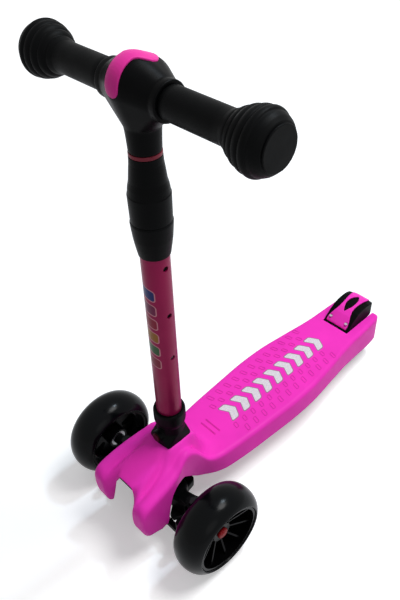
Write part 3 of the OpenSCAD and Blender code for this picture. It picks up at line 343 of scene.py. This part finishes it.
def tube_material():
    s = surface("tube_paint", (0.225, 0.004, 0.052), 0.34, 0.07, grain=0.06, grain_scale=2400.0,
                Metallic=0.25, Specular_IOR_Level=0.12)
    x, y, z = s.axes()
    front = s.math("MULTIPLY", s.math("SUBTRACT", y, STEM_Y), -1.0)
    arc = s.math("MULTIPLY", s.math("ARCTAN2", x, front), PAINT_R)
    cell = s.repeat(s.math("ADD", z, s.math("MULTIPLY", arc, STRIPE_SLANT)), STRIPE_Z0, STRIPE_PITCH)
    index = s.math("FLOOR", s.math("DIVIDE", s.math("SUBTRACT", z, STRIPE_Z0), STRIPE_PITCH))
    z1 = STRIPE_Z0 + len(STRIPE_COLOURS) * STRIPE_PITCH
    run = s.both(s.ramp(z, STRIPE_Z0 - 0.2, STRIPE_Z0), s.ramp(z, z1, z1 + 0.2, 1.0, 0.0))
    box = s.rounded_box(arc, cell, STRIPE_HALF, STRIPE_DEEP, STRIPE_ROUND)
    colour = s.mix(s.both(s.below(box, 0.0), run), s.colour, STRIPE_EDGE_RGB)
    ink = (0.0, 0.0, 0.0)
    for k, rgb in enumerate(STRIPE_COLOURS):
        ink = s.mix(s.math("COMPARE", index, float(k), 0.5), ink, rgb)
    colour = s.mix(s.both(s.below(box, -STRIPE_EDGE), run), colour, ink)
    s.put(s.surface.inputs["Base Color"], colour)
    return s


tube_paint = tube_material()

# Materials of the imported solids; a node that isn't listed is bare steel
CAD_LOOKS = {
    black: ["front_carrier", "stem_socket", "brake_fender", "lower_sleeve", "clamp_collar", "t_housing",
            "truck_beam", "steering_lever", "tie_rod", "left_knuckle", "right_knuckle"],
    rim_black: ["left_rim", "right_rim", "rear_rim"],
    tyre: ["left_tyre", "right_tyre", "rear_tyre"],
    rubber: ["left_grip", "right_grip", "grip_end_caps"],
    trim: ["housing_trim"],
    cover_pink: ["brake_cover"],
    deck_side: ["deck_shell"],
    tube_paint: ["lower_tube"],
    alloy: ["cross_tube"],
    # the inner tube takes the near-black alloy, which is painted shade
    alloy_dark_for_shade: ["inner_tube"],
    nylon: ["clamp_collet", "truck_bushes", "left_kingpin_bush", "right_kingpin_bush"],
    cap_red: ["left_hub_cap", "right_hub_cap"],
    button_red: ["release_button"],
    ring_red: ["neck_ring"],
    smoked: ["left_light_ring", "right_light_ring"],
    buffer: ["return_buffers"],
    dark_steel: ["truck_bolts", "kingpin_nuts", "truck_pivot_bolt", "truck_pivot_nut", "left_axle_bolt",
                 "right_axle_bolt", "housing_screw"],
}
LOOK_OF = {node: look for look, nodes in CAD_LOOKS.items() for node in nodes}
for name, obj in frame["nodes"].items():
    look = LOOK_OF.get(name, steel)
    for entry in obj.material_slots:
        entry.material = look.mat
    if not obj.material_slots:
        obj.data.materials.append(look.mat)


def finish(obj, look, slot, *nodes):
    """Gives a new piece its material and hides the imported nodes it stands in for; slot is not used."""
    obj.data.materials.append(look.mat)
    if nodes:
        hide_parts(*nodes)
    return obj


def softened(node, body, look, slot, voxel, rounds):
    """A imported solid's shape with its edges rounded off as in a moulding, in its place."""
    mesh = frame["nodes"][node].data.copy()
    mesh.materials.clear()
    obj = added(node + "_form", mesh)
    modifier(obj, "REMESH", mode="VOXEL", voxel_size=voxel * MM, use_smooth_shade=True)
    modifier(obj, "SMOOTH", factor=0.5, iterations=rounds)
    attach(obj, body)
    finish(obj, look, slot, node)


# Node, body, look, slot, cell in millimetres and rounds of smoothing
MOULDINGS = [
    ("t_housing", "handlebar", black, "black_plastic", 0.8, 16),
    ("housing_trim", "handlebar", trim, "trim_pink", 0.45, 6),
    ("stem_socket", "deck", black, "black_plastic", 0.5, 5),
    ("brake_fender", "brake", black, "black_plastic", 0.45, 9),
    ("brake_cover", "brake", cover_pink, "deck_pink", 0.32, 9),
    ("truck_beam", "truck", black, "black_plastic", 0.8, 4),
    ("left_knuckle", "left_knuckle", black, "black_plastic", 0.45, 5),
    ("right_knuckle", "right_knuckle", black, "black_plastic", 0.45, 5),
    ("grip_end_caps", "handlebar", rubber, "grip_rubber", 0.5, 12),
]
for moulding in MOULDINGS:
    softened(*moulding)

# ---------------------------------------------------------------- deck
# Height of the hood's flat, front rim between the feet, and the feet's front and lower ends
HOOD = 126.7
RIM_Y, RIM_Z = -53.0, HOOD - 24.2
FOOT_Y, FOOT_Z = -68.0, 40.3
# Slot of the rear wheel between the horns: half width, front end, end of the well under it
SLOT_HALF, SLOT_Y, WELL_Y = 23.0, REAR_Y - 38.0, REAR_Y - REAR_R - 3.0
TAIL_Y = REAR_Y + 35.0
DECK_HALF, WALL = 53.7, 3.0
# The flat part begins here, and its rows are written for a flat part this long
FLAT_Y, FLAT_L = 86.0, 274.0


def on_flat(y):
    """A row's place along the flat part, at the length it has here."""
    return FLAT_Y + (y - FLAT_Y) * (SLOT_Y - FLAT_Y) / FLAT_L


def deck_stations():
    """Rows of the deck: its middle, its edge, the foot of its skirt, and how the top bends."""
    ry, rz, sy, ht, dt, dh, fy, fz = RIM_Y, RIM_Z, STEM_Y, HOOD, DECK_TOP, DECK_HALF, FOOT_Y, FOOT_Z
    rows = [
        ((ry, rz), (46.5, -59, fz + 1.5, 7), (47, -47.5, fz + 0.3), (12, 27, 0, 20)),
        ((ry + 1, rz + 0.8), (47.7, -64, fz + 6.5, 7), (48, -45, fz), (12, 27.5, 0.6, 21)),
        ((ry + 2.5, rz + 1.7), (48.5, fy + 1, fz + 18, 7), (48.6, -43, fz), (12.5, 28, 1.4, 22)),
        ((ry + 5, rz + 2.8), (48.5, fy, 76, 7), (49, -40.5, fz), (13.5, 29, 2.4, 24)),
        ((ry + 8.5, rz + 4.3), (48.5, fy + 1.2, 90, 8), (49, -38, fz + 0.4), (15, 30, 3.6, 26)),
        ((ry + 13, rz + 6.3), (48.5, -61, 98.5, 9), (49, -35, fz + 1.4), (16, 32, 4.8, 28)),
        ((ry + 19, rz + 8.8), (48.5, -52, 102, 9), (49, -31, 41.5), (17, 34, 5.6, 28)),
        ((ry + 26, rz + 11.7), (48, -42, 104.5, 9), (48.5, -28, 49), (17, 35, 5.8, 27)),
        ((ry + 33, rz + 14.7), (47.5, -31, 106.5, 9), (48, -25.5, 59), (17, 35, 5.8, 25)),
        ((ry + 40, rz + 17.6), (46.5, -21, 108.5, 9), (47.5, -22.5, 71), (16, 35, 5.4, 23)),
        ((ry + 47, rz + 20.5), (45, -11, 110.5, 9), (46.5, -17, 84), (15, 34, 4.4, 20)),
        ((ry + 53, rz + 22.9), (43, -2, 112.5, 9), (45, -9, 91.5), (15, 32, 2.2, 17.5)),
        ((sy - 20, ht), (40.5, 5, 115.5, 8), (42.5, 0, 92.5), (16, 30, 0.5, 17)),
        ((sy - 14, ht), (38, 11, 118.5, 8), (40, 8, 90), (17, 28, 0, 17)),
        ((sy - 7, ht), (36.5, 18, 120.5, 7), (38.5, 17, 81.5), (18, 27, 0, 17)),
        ((sy, ht), (36, 25, 119.5, 7), (37.5, 25.5, 72.5), (18, 27, 0, 17)),
        ((sy + 8, ht), (36, 32, 114, 7), (37.3, 33, 64.5), (18, 27, 0, 17)),
        ((sy + 16, ht), (36.3, 38.5, 106, 7), (37.8, 40, 59.5), (18, 27, 0, 17)),
        ((sy + 22, ht - 5.5), (37, 44.5, 96, 7), (38.8, 46, 56), (17, 28, 0, 17)),
        ((sy + 28, ht - 18), (38.5, 50.5, 86.5, 6.5), (40.3, 52, 53), (14, 30, 0, 17)),
        ((sy + 34, dt + 17.5), (40.2, 57, dt + 4, 6), (42.2, 58.5, 50.5), (12, 31, 0, 17)),
        ((sy + 41, dt + 6.5), (42, 65, dt + 0.9, 6), (44.2, 66, 48.5), (12, 33, 0, 17)),
        ((75, dt + 1.2), (43.7, 75, dt, 6), (46.2, 75, 47), (12, 35, 0, 17)),
        ((FLAT_Y, dt), (45, FLAT_Y, dt, 6), (47.7, FLAT_Y, 46), (12, 35, 0, 17)),
    ]
    for y, narrow, foot in [(105, 6.6, 45.5), (130, 4.6, 45), (161, 2.6, 45), (190, 0.7, 45), (215, 0, 45),
                            (250, 1, 45), (292, 6, 44), (330, 11.2, 41), (352, 13.4, 38)]:
        y = on_flat(y)
        rows.append(((y, dt), (dh - narrow, y, dt, 6), (dh - narrow + 2.8, y, foot), (12, 30, 0, 17)))
    for y, narrow, foot in [(-28, 14.2, 34.5), (-5, 15.2, 33), (13, 16.5, 33), (24, 18, 33.2)]:
        y += REAR_Y
        rows.append(((y, dt), (dh - narrow, y, dt, 6), (dh - narrow + 1.4, y, foot), (12, 28, 0, 17)))
    t = TAIL_Y
    rows += [
        ((t - 6.5, dt - 0.4), (dh - 19.2, t - 7, dt - 0.4, 5), (dh - 18.2, t - 7.5, 33.6), (12, 26, 0, 17)),
        ((t - 2.6, dt - 2), (dh - 21.2, t - 3, dt - 2, 4.6), (dh - 20.5, t - 3.4, 33.8), (12, 26, 0, 17)),
        ((t - 0.7, dt - 5.6), (dh - 23.4, t - 1, dt - 5.6, 4.2), (dh - 23, t - 1.3, 34), (12, 26, 0, 17)),
        ((t, dt - 12), (dh - 24.8, t - 0.3, dt - 12, 3.8), (dh - 24.5, t - 0.5, 34.2), (12, 26, 0, 17)),
        ((t, 36.6), (dh - 27.2, t - 0.3, 36.4, 1.8), (dh - 27, t - 0.4, 34.6), (12, 26, 0, 17)),
    ]
    return [[np.array(part, float) for part in row] for row in rows]


STATIONS = deck_stations()


def ease(a, b, x):
    """0 up to a, 1 from b, and a smooth step between them."""
    u = min(1.0, max(0.0, (x - a) / (b - a)))
    return u * u * (3 - 2 * u)


def line_at(part, t):
    """A guide line of the deck at station t, on a smooth curve through the stations."""
    last = len(STATIONS) - 1
    i = min(int(t), last - 1)
    u = t - i
    a, b, c, d = (STATIONS[min(max(k, 0), last)][part] for k in (i - 1, i, i + 1, i + 2))
    square, cube = 2 * a - 5 * b + 4 * c - d, 3 * b - a - 3 * c + d
    return 0.5 * (2 * b + (c - a) * u + square * u * u + cube * u ** 3)


# Steps of a row over the top, round its corner and down the skirt, and those inside the slot
TOP_N, CORNER_N, SKIRT_N, SLOT_K = 26, 5, 6, 14
# Width of a valley of the hood, and the round hole of the stem in it
VALLEY_W, STEM_HOLE_R = 6, 16.2
# Station where the flat part begins, and how many stations at the end bend down at the tail
FLAT_STATION, TAIL_STATIONS = 23, 4
# Between these distances ahead of the slot, the points of a row slide over to the slot's edge
SLIDE_FROM, SLIDE_TO = 90.0, 8.0


def deck_row(t):
    """Points of one row of the deck from its middle to the foot of its skirt."""
    m, e, foot, bend = (line_at(part, t) for part in range(4))
    corner, r = e[:3], e[3]
    down = (foot - corner) / np.linalg.norm(foot - corner)
    reach = e[0] - r
    to_slot = ease(SLOT_Y - SLIDE_FROM, SLOT_Y - SLIDE_TO, m[0])
    knee = reach * SLOT_K / TOP_N * (1 - to_slot) + SLOT_HALF * to_slot
    points = []
    for k in range(TOP_N + 1):
        x = knee * k / SLOT_K if k <= SLOT_K else knee + (reach - knee) * (k - SLOT_K) / (TOP_N - SLOT_K)
        u = ease(bend[0], bend[1], x)
        valley = bend[2] * math.exp(-((x - bend[3]) / VALLEY_W) ** 2)
        points.append([x, m[0] + (e[1] - m[0]) * u, m[1] + (e[2] - m[1]) * u - valley])
    a, c = corner - np.array([r, 0, 0]), corner + down * r
    for k in range(1, CORNER_N + 1):
        u = k / CORNER_N
        points.append(list((1 - u) ** 2 * a + 2 * u * (1 - u) * corner + u * u * c))
    for k in range(1, SKIRT_N + 1):
        points.append(list(c + (foot - c) * k / SKIRT_N))
    return points


def station_of(y):
    """The station whose middle lies at y, found between the hood and the tail."""
    low, high = FLAT_STATION - 1.0, float(len(STATIONS) - TAIL_STATIONS)
    for _ in range(40):
        t = (low + high) / 2
        low, high = (t, high) if line_at(0, t)[0] < y else (low, t)
    return low


def deck_sheet():
    """The outer face of the deck, open under it, with the tail slot and the stem's hole."""
    slot_t = station_of(SLOT_Y)
    stops = [i + k / 4 for i in range(FLAT_STATION) for k in range(4)]
    stops += [i + k / 3 for i in range(FLAT_STATION, len(STATIONS) - 1) for k in range(3)]
    stops.append(len(STATIONS) - 1.0)
    nearest = min(range(len(stops)), key=lambda k: abs(stops[k] - slot_t))
    stops[nearest] = slot_t
    half = TOP_N + CORNER_N + SKIRT_N
    verts, faces = [], []
    for t in stops:
        row = deck_row(t)
        verts += [(-p[0], p[1], p[2]) for p in row[:0:-1]] + [tuple(p) for p in row]
    wide = 2 * half + 1
    for i in range(len(stops) - 1):
        for j in range(wide - 1):
            inner = -SLOT_K <= j - half < SLOT_K
            if inner and i >= nearest:
                continue
            corners = (i * wide + j, i * wide + j + 1, (i + 1) * wide + j + 1, (i + 1) * wide + j)
            centre = sum((np.array(verts[c]) for c in corners), np.zeros(3)) / 4
            if math.hypot(centre[0], centre[1] - STEM_Y) < STEM_HOLE_R and centre[2] > HOOD - 3:
                continue
            faces.append(corners)
    return verts, faces


def joined(*parts):
    """Several lists of vertices and faces as one."""
    verts, faces = [], []
    for v, f in parts:
        faces += [tuple(k + len(verts) for k in face) for face in f]
        verts += [tuple(p) for p in v]
    return verts, faces


def block(x0, x1, y0, y1, z0, z1):
    """A rectangular wall: its vertices and faces."""
    v = [(x, y, z) for x in (x0, x1) for y in (y0, y1) for z in (z0, z1)]
    f = [(0, 1, 3, 2), (4, 6, 7, 5), (0, 4, 5, 1), (2, 3, 7, 6), (0, 2, 6, 4), (1, 5, 7, 3)]
    return v, f


def prism(outline, y0, y1):
    """An outline of (x, z) points as a plate from y0 to y1."""
    n = len(outline)
    v = [(x, y, z) for y in (y0, y1) for x, z in outline]
    f = [tuple(range(n)), tuple(range(2 * n - 1, n - 1, -1))]
    return v, f + [(k, (k + 1) % n, n + (k + 1) % n, n + k) for k in range(n)]


# Ribs and screw bosses under the deck
RIB_Y0, RIB_PITCH, RIB_HALF, RIB_X = 84.0, 50.0, 1.1, 18
CROSS_RIB_Z, LONG_RIB_Z = 56.0, 58
# Walls around the rear wheel: thickness, lower edge beside it and ahead of it
SLOT_WALL, SLOT_WALL_Z, WELL_WALL_Z = 2.5, 35.5, 44
# Bosses of the rear bracket: radius, lower end, x and y
BRACKET_BOSS_R, BRACKET_BOSS_Z = 4, REAR_R + 26
BRACKET_BOSSES = [(-30.4, REAR_Y - 22), (30.4, REAR_Y - 22)]
# Bosses of the front carrier: radius, lower end, then x, y and top of each
BOSS_R, BOSS_Z = 4.6, DECK_TOP + 22
CARRIER_BOSSES = [(-21, -13, HOOD - 16), (21, -13, HOOD - 16),
                  (-22.8, 33, HOOD - 13.5), (22.8, 33, HOOD - 13.5)]


def cross_rib(y, low):
    """A rib across the deck that follows its section down to a lower edge."""
    inset = WALL / 2
    row = [p for p in deck_row(station_of(y)) if p[2] > low]
    half = [(p[0] - inset, min(p[2], DECK_TOP - inset)) for p in row[1:]]
    outline = [(-x, z) for x, z in half[::-1]] + half
    outline = [(outline[0][0], low)] + outline + [(outline[-1][0], low)]
    return prism(outline, y - RIB_HALF, y + RIB_HALF)


def post(x, y, z0, z1, r):
    """An upright round boss."""
    return revolved([[0.01, z0], [r, z0], [r, z1], [0.01, z1]], (x, y, 0), "z", 24)


def make_skin():
    """The pink moulding of the deck, hollow and open underneath."""
    verts, faces = deck_sheet()
    mesh = bpy.data.meshes.new("deck_skin")
    mesh.from_pydata([place(v) for v in verts], [], faces)
    mesh.shade_smooth()
    mesh.set_sharp_from_angle(angle=math.radians(50))
    obj = added("deck_skin", mesh)
    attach(obj, "deck")
    modifier(obj, "SOLIDIFY", thickness=WALL * MM, offset=-1.0)
    modifier(obj, "BEVEL", width=0.9 * MM, segments=3, limit_method="ANGLE", angle_limit=math.radians(50),
             harden_normals=False)
    finish(obj, deck_skin_shade, "deck_pink", "deck_shell")


def make_ribs():
    """Ribs, slot walls and screw bosses under the deck, as one moulded piece."""
    rib_y1, under = WELL_Y - SLOT_WALL, DECK_TOP - WALL / 2
    count = math.ceil((rib_y1 - RIB_Y0) / RIB_PITCH)
    parts = [cross_rib(RIB_Y0 + k * (rib_y1 - RIB_Y0) / count, CROSS_RIB_Z) for k in range(count)]
    for x in (-RIB_X, RIB_X):
        parts.append(block(x - RIB_HALF, x + RIB_HALF, RIB_Y0, WELL_Y - 1, LONG_RIB_Z, under))
    for s, (x, y) in zip((-1, 1), BRACKET_BOSSES):
        x0, x1 = sorted((s * SLOT_HALF, s * (SLOT_HALF + SLOT_WALL)))
        parts.append(block(x0, x1, rib_y1, TAIL_Y - 3.6, SLOT_WALL_Z, DECK_TOP - 2.2))
        parts.append(post(x, y, BRACKET_BOSS_Z, under, BRACKET_BOSS_R))
    parts.append(block(-SLOT_HALF - 1, SLOT_HALF + 1, rib_y1, WELL_Y, WELL_WALL_Z, DECK_TOP - 1.0))
    for x, y, top in CARRIER_BOSSES:
        parts.append(post(x, y, BOSS_Z, top, BOSS_R))
    ribs = piece("deck_ribs", "deck", *joined(*parts))
    modifier(ribs, "BEVEL", width=0.35 * MM, segments=2, limit_method="ANGLE")
    finish(ribs, deck_side, "deck_pink")


make_skin()
make_ribs()

# Raised marks: where the rows start, how they repeat, how many there are, and how high they stand
MARK_Y0, MARK_PITCH, MARKS, MARK_H = 120.0, 17.0, 12, 0.55
# Rows of marks on each side: middle, half width, and the shift along the row in pitches
MARK_ROWS = [(22.5, 4.6, 0.0), (35.5, 5.4, 0.5)]
# Outline of a mark: half length, corner radius, width of its ridge, and slant
MARK_DEEP, MARK_ROUND, MARK_LINE, MARK_SLANT = 3.0, 1.8, 1.2, 0.25
# The two bars: their places along the deck, half sizes, and width of their ridge
BARS_Y, BAR_HALF, BAR_LINE = (89.0, 97.5), (14.0, 1.1), 0.9


def band(at, half, r, width, skew, z0, z1):
    """A low ridge along a rounded, slanted outline: its vertices and faces."""
    verts = []
    n = 6
    for inset, z in ((0, z0), (0.2, z1), (width - 0.2, z1), (width, z0)):
        for k in range(4 * (n + 1)):
            corner, step = divmod(k, n + 1)
            a = math.radians(90 * corner + 90 * step / n)
            qx, qy = (1, -1, -1, 1)[corner], (1, 1, -1, -1)[corner]
            dx = qx * (half[0] - r) + (r - inset) * math.cos(a)
            dy = qy * (half[1] - r) + (r - inset) * math.sin(a)
            verts.append((at[0] + dx, at[1] + dy + skew * dx, z))
    m = 4 * (n + 1)
    faces = [(i * m + k, i * m + (k + 1) % m, (i + 1) % 4 * m + (k + 1) % m, (i + 1) % 4 * m + k)
             for i in range(4) for k in range(m)]
    return verts, faces


def make_marks():
    """Raised outlines in two staggered rows a side, and two short bars ahead of the print."""
    low, high = DECK_TOP - 0.3, DECK_TOP + MARK_H
    parts = [band((0, y), BAR_HALF, BAR_HALF[1], BAR_LINE, 0.0, low, high) for y in BARS_Y]
    for side in (-1, 1):
        for middle_x, half, shift in MARK_ROWS:
            for k in range(MARKS):
                at = (side * middle_x, MARK_Y0 + (k + shift) * MARK_PITCH)
                parts.append(band(at, (half, MARK_DEEP), MARK_ROUND, MARK_LINE,
                                  -MARK_SLANT * side, low, high))
    # The marks get the darker pink, which is painted shade on their ridges
    finish(piece("deck_marks", "deck", *joined(*parts), sharp=60), mark_pink_painted_shade, "deck_pink")


make_marks()


# ---------------------------------------------------------------- wheels and grips
# Each side's name, sign and axis outwards
SIDES = (("left", 1, "x"), ("right", -1, "-x"))


# How far a tyre's crown turns to each side of its middle, in degrees, and its steps
CROWN_TURN, CROWN_STEPS = 74, 40


def tyre_profile(r, w, crown, depth):
    """Closed profile of a tyre: its seat, depth under the tread, and a round crown."""
    half_seat = w / 2 - crown * 0.22
    angles = [math.radians(CROWN_TURN - 2 * CROWN_TURN * k / CROWN_STEPS) for k in range(CROWN_STEPS + 1)]
    arc = [(r - crown + crown * math.cos(a), w / 2 * math.sin(a)) for a in angles]
    return [(r - depth, -half_seat), (r - depth, half_seat)] + arc


def make_tyre(wheel, axis, x, y, r, w, crown, depth, steps, rounding):
    """The tyre of the left, right or rear wheel."""
    shape = revolved(tyre_profile(r, w, crown, depth), (x, y, r), axis, steps)
    tread = piece(wheel + "_tread", wheel + "_wheel", *shape, sharp=50)
    eased(tread, rounding)
    finish(tread, tyre, "tyre_rubber", wheel + "_tyre")


for side, sign, axis in SIDES:
    make_tyre(side, axis, sign * TRACK / 2, 0, FRONT_R, FRONT_W, 18.0, 14.5, 128, 0.8)
make_tyre("rear", "x", 0, REAR_Y, REAR_R, REAR_W, 12.0, 13.0, 112, 0.6)

# Red dome of a hub cap and the black seat around it; distances are outwards from the seat's back
CAP_R, DOME_H, DOME_Z = 7.4, 3.2, 2.6
SEAT_R, SEAT_H = 13.6, 1.4
SEAT_PROFILE = [(CAP_R - 1.4, 0), (SEAT_R, 0), (SEAT_R, 1.0), (SEAT_R - 0.4, SEAT_H), (CAP_R + 0.4, SEAT_H),
                (CAP_R + 0.4, 1.2), (CAP_R - 1.4, 1.2)]


def dome_profile():
    """Closed profile of a hub cap's dome, from its inner face outwards."""
    angles = [math.radians(90 * k / 14) for k in range(1, 14)]
    dome = [(CAP_R * math.cos(a), DOME_Z + DOME_H * math.sin(a)) for a in angles]
    inner = [(0.01, 4.4), (CAP_R - 1.0, 4.4), (CAP_R - 1.0, 1.3), (CAP_R, 1.3), (CAP_R, DOME_Z)]
    return inner + dome + [(0.01, DOME_Z + DOME_H)]


for side, sign, axis in SIDES:
    at = (span(side + "_hub_cap", 0)[0 if sign > 0 else 1], 0, FRONT_R)
    dome = piece(side + "_cap", side + "_wheel", *revolved(dome_profile(), at, axis, 72), sharp=50)
    finish(dome, cap_red, "cap_red", side + "_hub_cap")
    seat = piece(side + "_cap_seat", side + "_wheel", *revolved(SEAT_PROFILE, at, axis, 72), sharp=40)
    finish(seat, rim_black, "black_plastic")

# Grip: its bore, its straight part and the ribbed ball at its end
GRIP_BORE, GRIP_R, BALL_R, BALL_L = 11.0, 14.8, 27.0, 45.0
RIDGES, RIDGE_DEEP, RIDGES_END = 5, 1.8, 0.8
# The ball's swelling from the straight part to its full radius, along its length
SWELL = ([0, 0.13, 0.22, 0.31, 0.4, 0.5, 0.6, 0.7, 0.78, 0.86, 0.93, 1],
         [0, 0.2, 0.42, 0.6, 0.75, 0.88, 0.96, 1, 0.99, 0.92, 0.79, 0.56])


def ball_radius(t):
    """Radius of the ball at a share t of its length, with its rounded ridges."""
    ridge = 1 - math.sqrt(abs(math.sin(math.pi * RIDGES * min(t, RIDGES_END) / RIDGES_END)))
    swollen = GRIP_R + (BALL_R - GRIP_R) * float(np.interp(t, *SWELL))
    return swollen - RIDGE_DEEP * ease(0.05, 0.15, t) * ridge


def grip_profile():
    """Closed profile of a grip, from its inner end outwards."""
    straight_l = GRIP_X1 - BALL_L - GRIP_X0 - 1
    start = [(GRIP_BORE, GRIP_X0), (GRIP_R - 0.6, GRIP_X0), (GRIP_R, GRIP_X0 + 1)]
    straight = [(GRIP_R, GRIP_X0 + 1 + straight_l * k / 8) for k in range(1, 8)]
    ball = [(ball_radius(k / 110), GRIP_X1 - BALL_L * (1 - k / 110)) for k in range(111)]
    return start + straight + ball + [(GRIP_BORE, GRIP_X1)]


for side, sign, axis in SIDES:
    shape = revolved(grip_profile(), (0, STEM_Y, BAR_Z), axis, 112)
    finish(piece(side + "_handle", "handlebar", *shape, sharp=60), rubber, "grip_rubber", side + "_grip")


# ---------------------------------------------------------------- floor, light and camera
bpy.context.scene.view_settings.view_transform = "Standard"

# In metres: half size of the floor, and the distances between which its glow rises
FLOOR, GLOW_NEAR, GLOW_FAR = 6.0, 0.7, 3.0


def seen(tree):
    """1 for rays from the camera, off gloss or through glass; 0 for light falling on things."""
    path = tree.nodes.new("ShaderNodeLightPath")
    out = path.outputs["Is Camera Ray"]
    for name in ("Is Glossy Ray", "Is Transmission Ray"):
        both = tree.nodes.new("ShaderNodeMath")
        both.operation = "MAXIMUM"
        tree.links.new(out, both.inputs[0])
        tree.links.new(path.outputs[name], both.inputs[1])
        out = both.outputs[0]
    return out


def grey(k):
    """An even grey this light."""
    return k, k, k


def stage_floor():
    """Pale paper that stays white where it is seen, also far away, and throws back less light."""
    mesh = bpy.data.meshes.new("floor")
    corners = [(x, y, 0) for x, y in ((-FLOOR, -FLOOR), (FLOOR, -FLOOR), (FLOOR, FLOOR), (-FLOOR, FLOOR))]
    mesh.from_pydata(corners, [], [(0, 1, 2, 3)])
    obj = added("floor", mesh)
    s = Shade("floor_paper")
    pale = s.mix(s.ramp(s.noise(3.0), 0.3, 0.7), grey(0.94), grey(0.97))
    s.put(s.surface.inputs["Base Color"], s.mix(seen(s.tree), grey(0.5), pale))
    reach = s.node("ShaderNodeVectorMath", {0: s.where}, operation="LENGTH").outputs["Value"]
    glow = s.ramp(reach, GLOW_NEAR, GLOW_FAR, 0.3, 0.9)
    s.put(s.surface.inputs["Emission Strength"], s.math("MULTIPLY", seen(s.tree), glow))
    s.surface.inputs["Emission Color"].default_value = (1, 1, 1, 1)
    s.surface.inputs["Roughness"].default_value = 0.9
    s.surface.inputs["Specular IOR Level"].default_value = 0.1
    mesh.materials.append(s.mat)


# Lamps: name, place, aim and size in metres, watts, colour
LAMPS = [
    ("key", (0.6, 0.7, 2.3), (0, 0, 0.2), 0.9, 31, (1, 1, 1)),
    ("window", (0.1, 1.0, 2.1), (0, -0.1, 0.1), 0.22, 15, (0.72, 0.87, 1.0)),
    ("fill", (1.8, -1.0, 1.5), (0, 0, 0.3), 1.4, 4, (1, 1, 1)),
]


def lamp(name, at, aim, size, watts, colour):
    """A round area lamp that looks at a point."""
    data = bpy.data.lights.new(name, "AREA")
    data.shape = "DISK"
    data.size = size
    data.energy = watts
    data.color = colour
    obj = added(name, data)
    obj.location = at
    obj.rotation_euler = (Vector(aim) - Vector(at)).to_track_quat("-Z", "Y").to_euler()


def make_world():
    """Even grey light, white where it is seen."""
    world = bpy.data.worlds.new("studio")
    bpy.context.scene.world = world
    world.use_nodes = True
    tree = world.node_tree
    mix = tree.nodes.new("ShaderNodeMix")
    mix.data_type = "RGBA"
    mix.inputs[6].default_value = (0.33, 0.33, 0.34, 1)
    mix.inputs[7].default_value = (1, 1, 1, 1)
    tree.links.new(seen(tree), mix.inputs["Factor"])
    tree.links.new(mix.outputs[2], tree.nodes["Background"].inputs["Color"])


stage_floor()
make_world()
for entry in LAMPS:
    lamp(*entry)

# Camera: its turn, height and roll in radians, its place in metres, its lens in millimetres
AZIMUTH, ELEVATION, ROLL = 0.833786, 0.70834, -0.044498
CAMERA_AT = (0.409034, -0.482502, 0.797215)
LENS, SHIFT_X, SHIFT_Y = 39.73, 0.00677, -0.01102


def make_camera():
    """The camera at the main view, which looks down on the front left corner."""
    data = bpy.data.cameras.new("camera")
    data.sensor_fit = "VERTICAL"
    data.sensor_height = 36.0
    data.lens = LENS
    data.shift_x, data.shift_y = SHIFT_X, SHIFT_Y
    data.clip_start = 0.02
    back = Vector((math.sin(AZIMUTH) * math.cos(ELEVATION), -math.cos(AZIMUTH) * math.cos(ELEVATION),
                   math.sin(ELEVATION)))
    right = Vector((0, 0, 1)).cross(back).normalized()
    up = back.cross(right)
    c, s = math.cos(ROLL), math.sin(ROLL)
    right, up = c * right + s * up, -s * right + c * up
    obj = added("camera", data)
    obj.matrix_world = Matrix.Translation(CAMERA_AT) @ Matrix((right, up, back)).transposed().to_4x4()
    bpy.context.scene.camera = obj


make_camera()
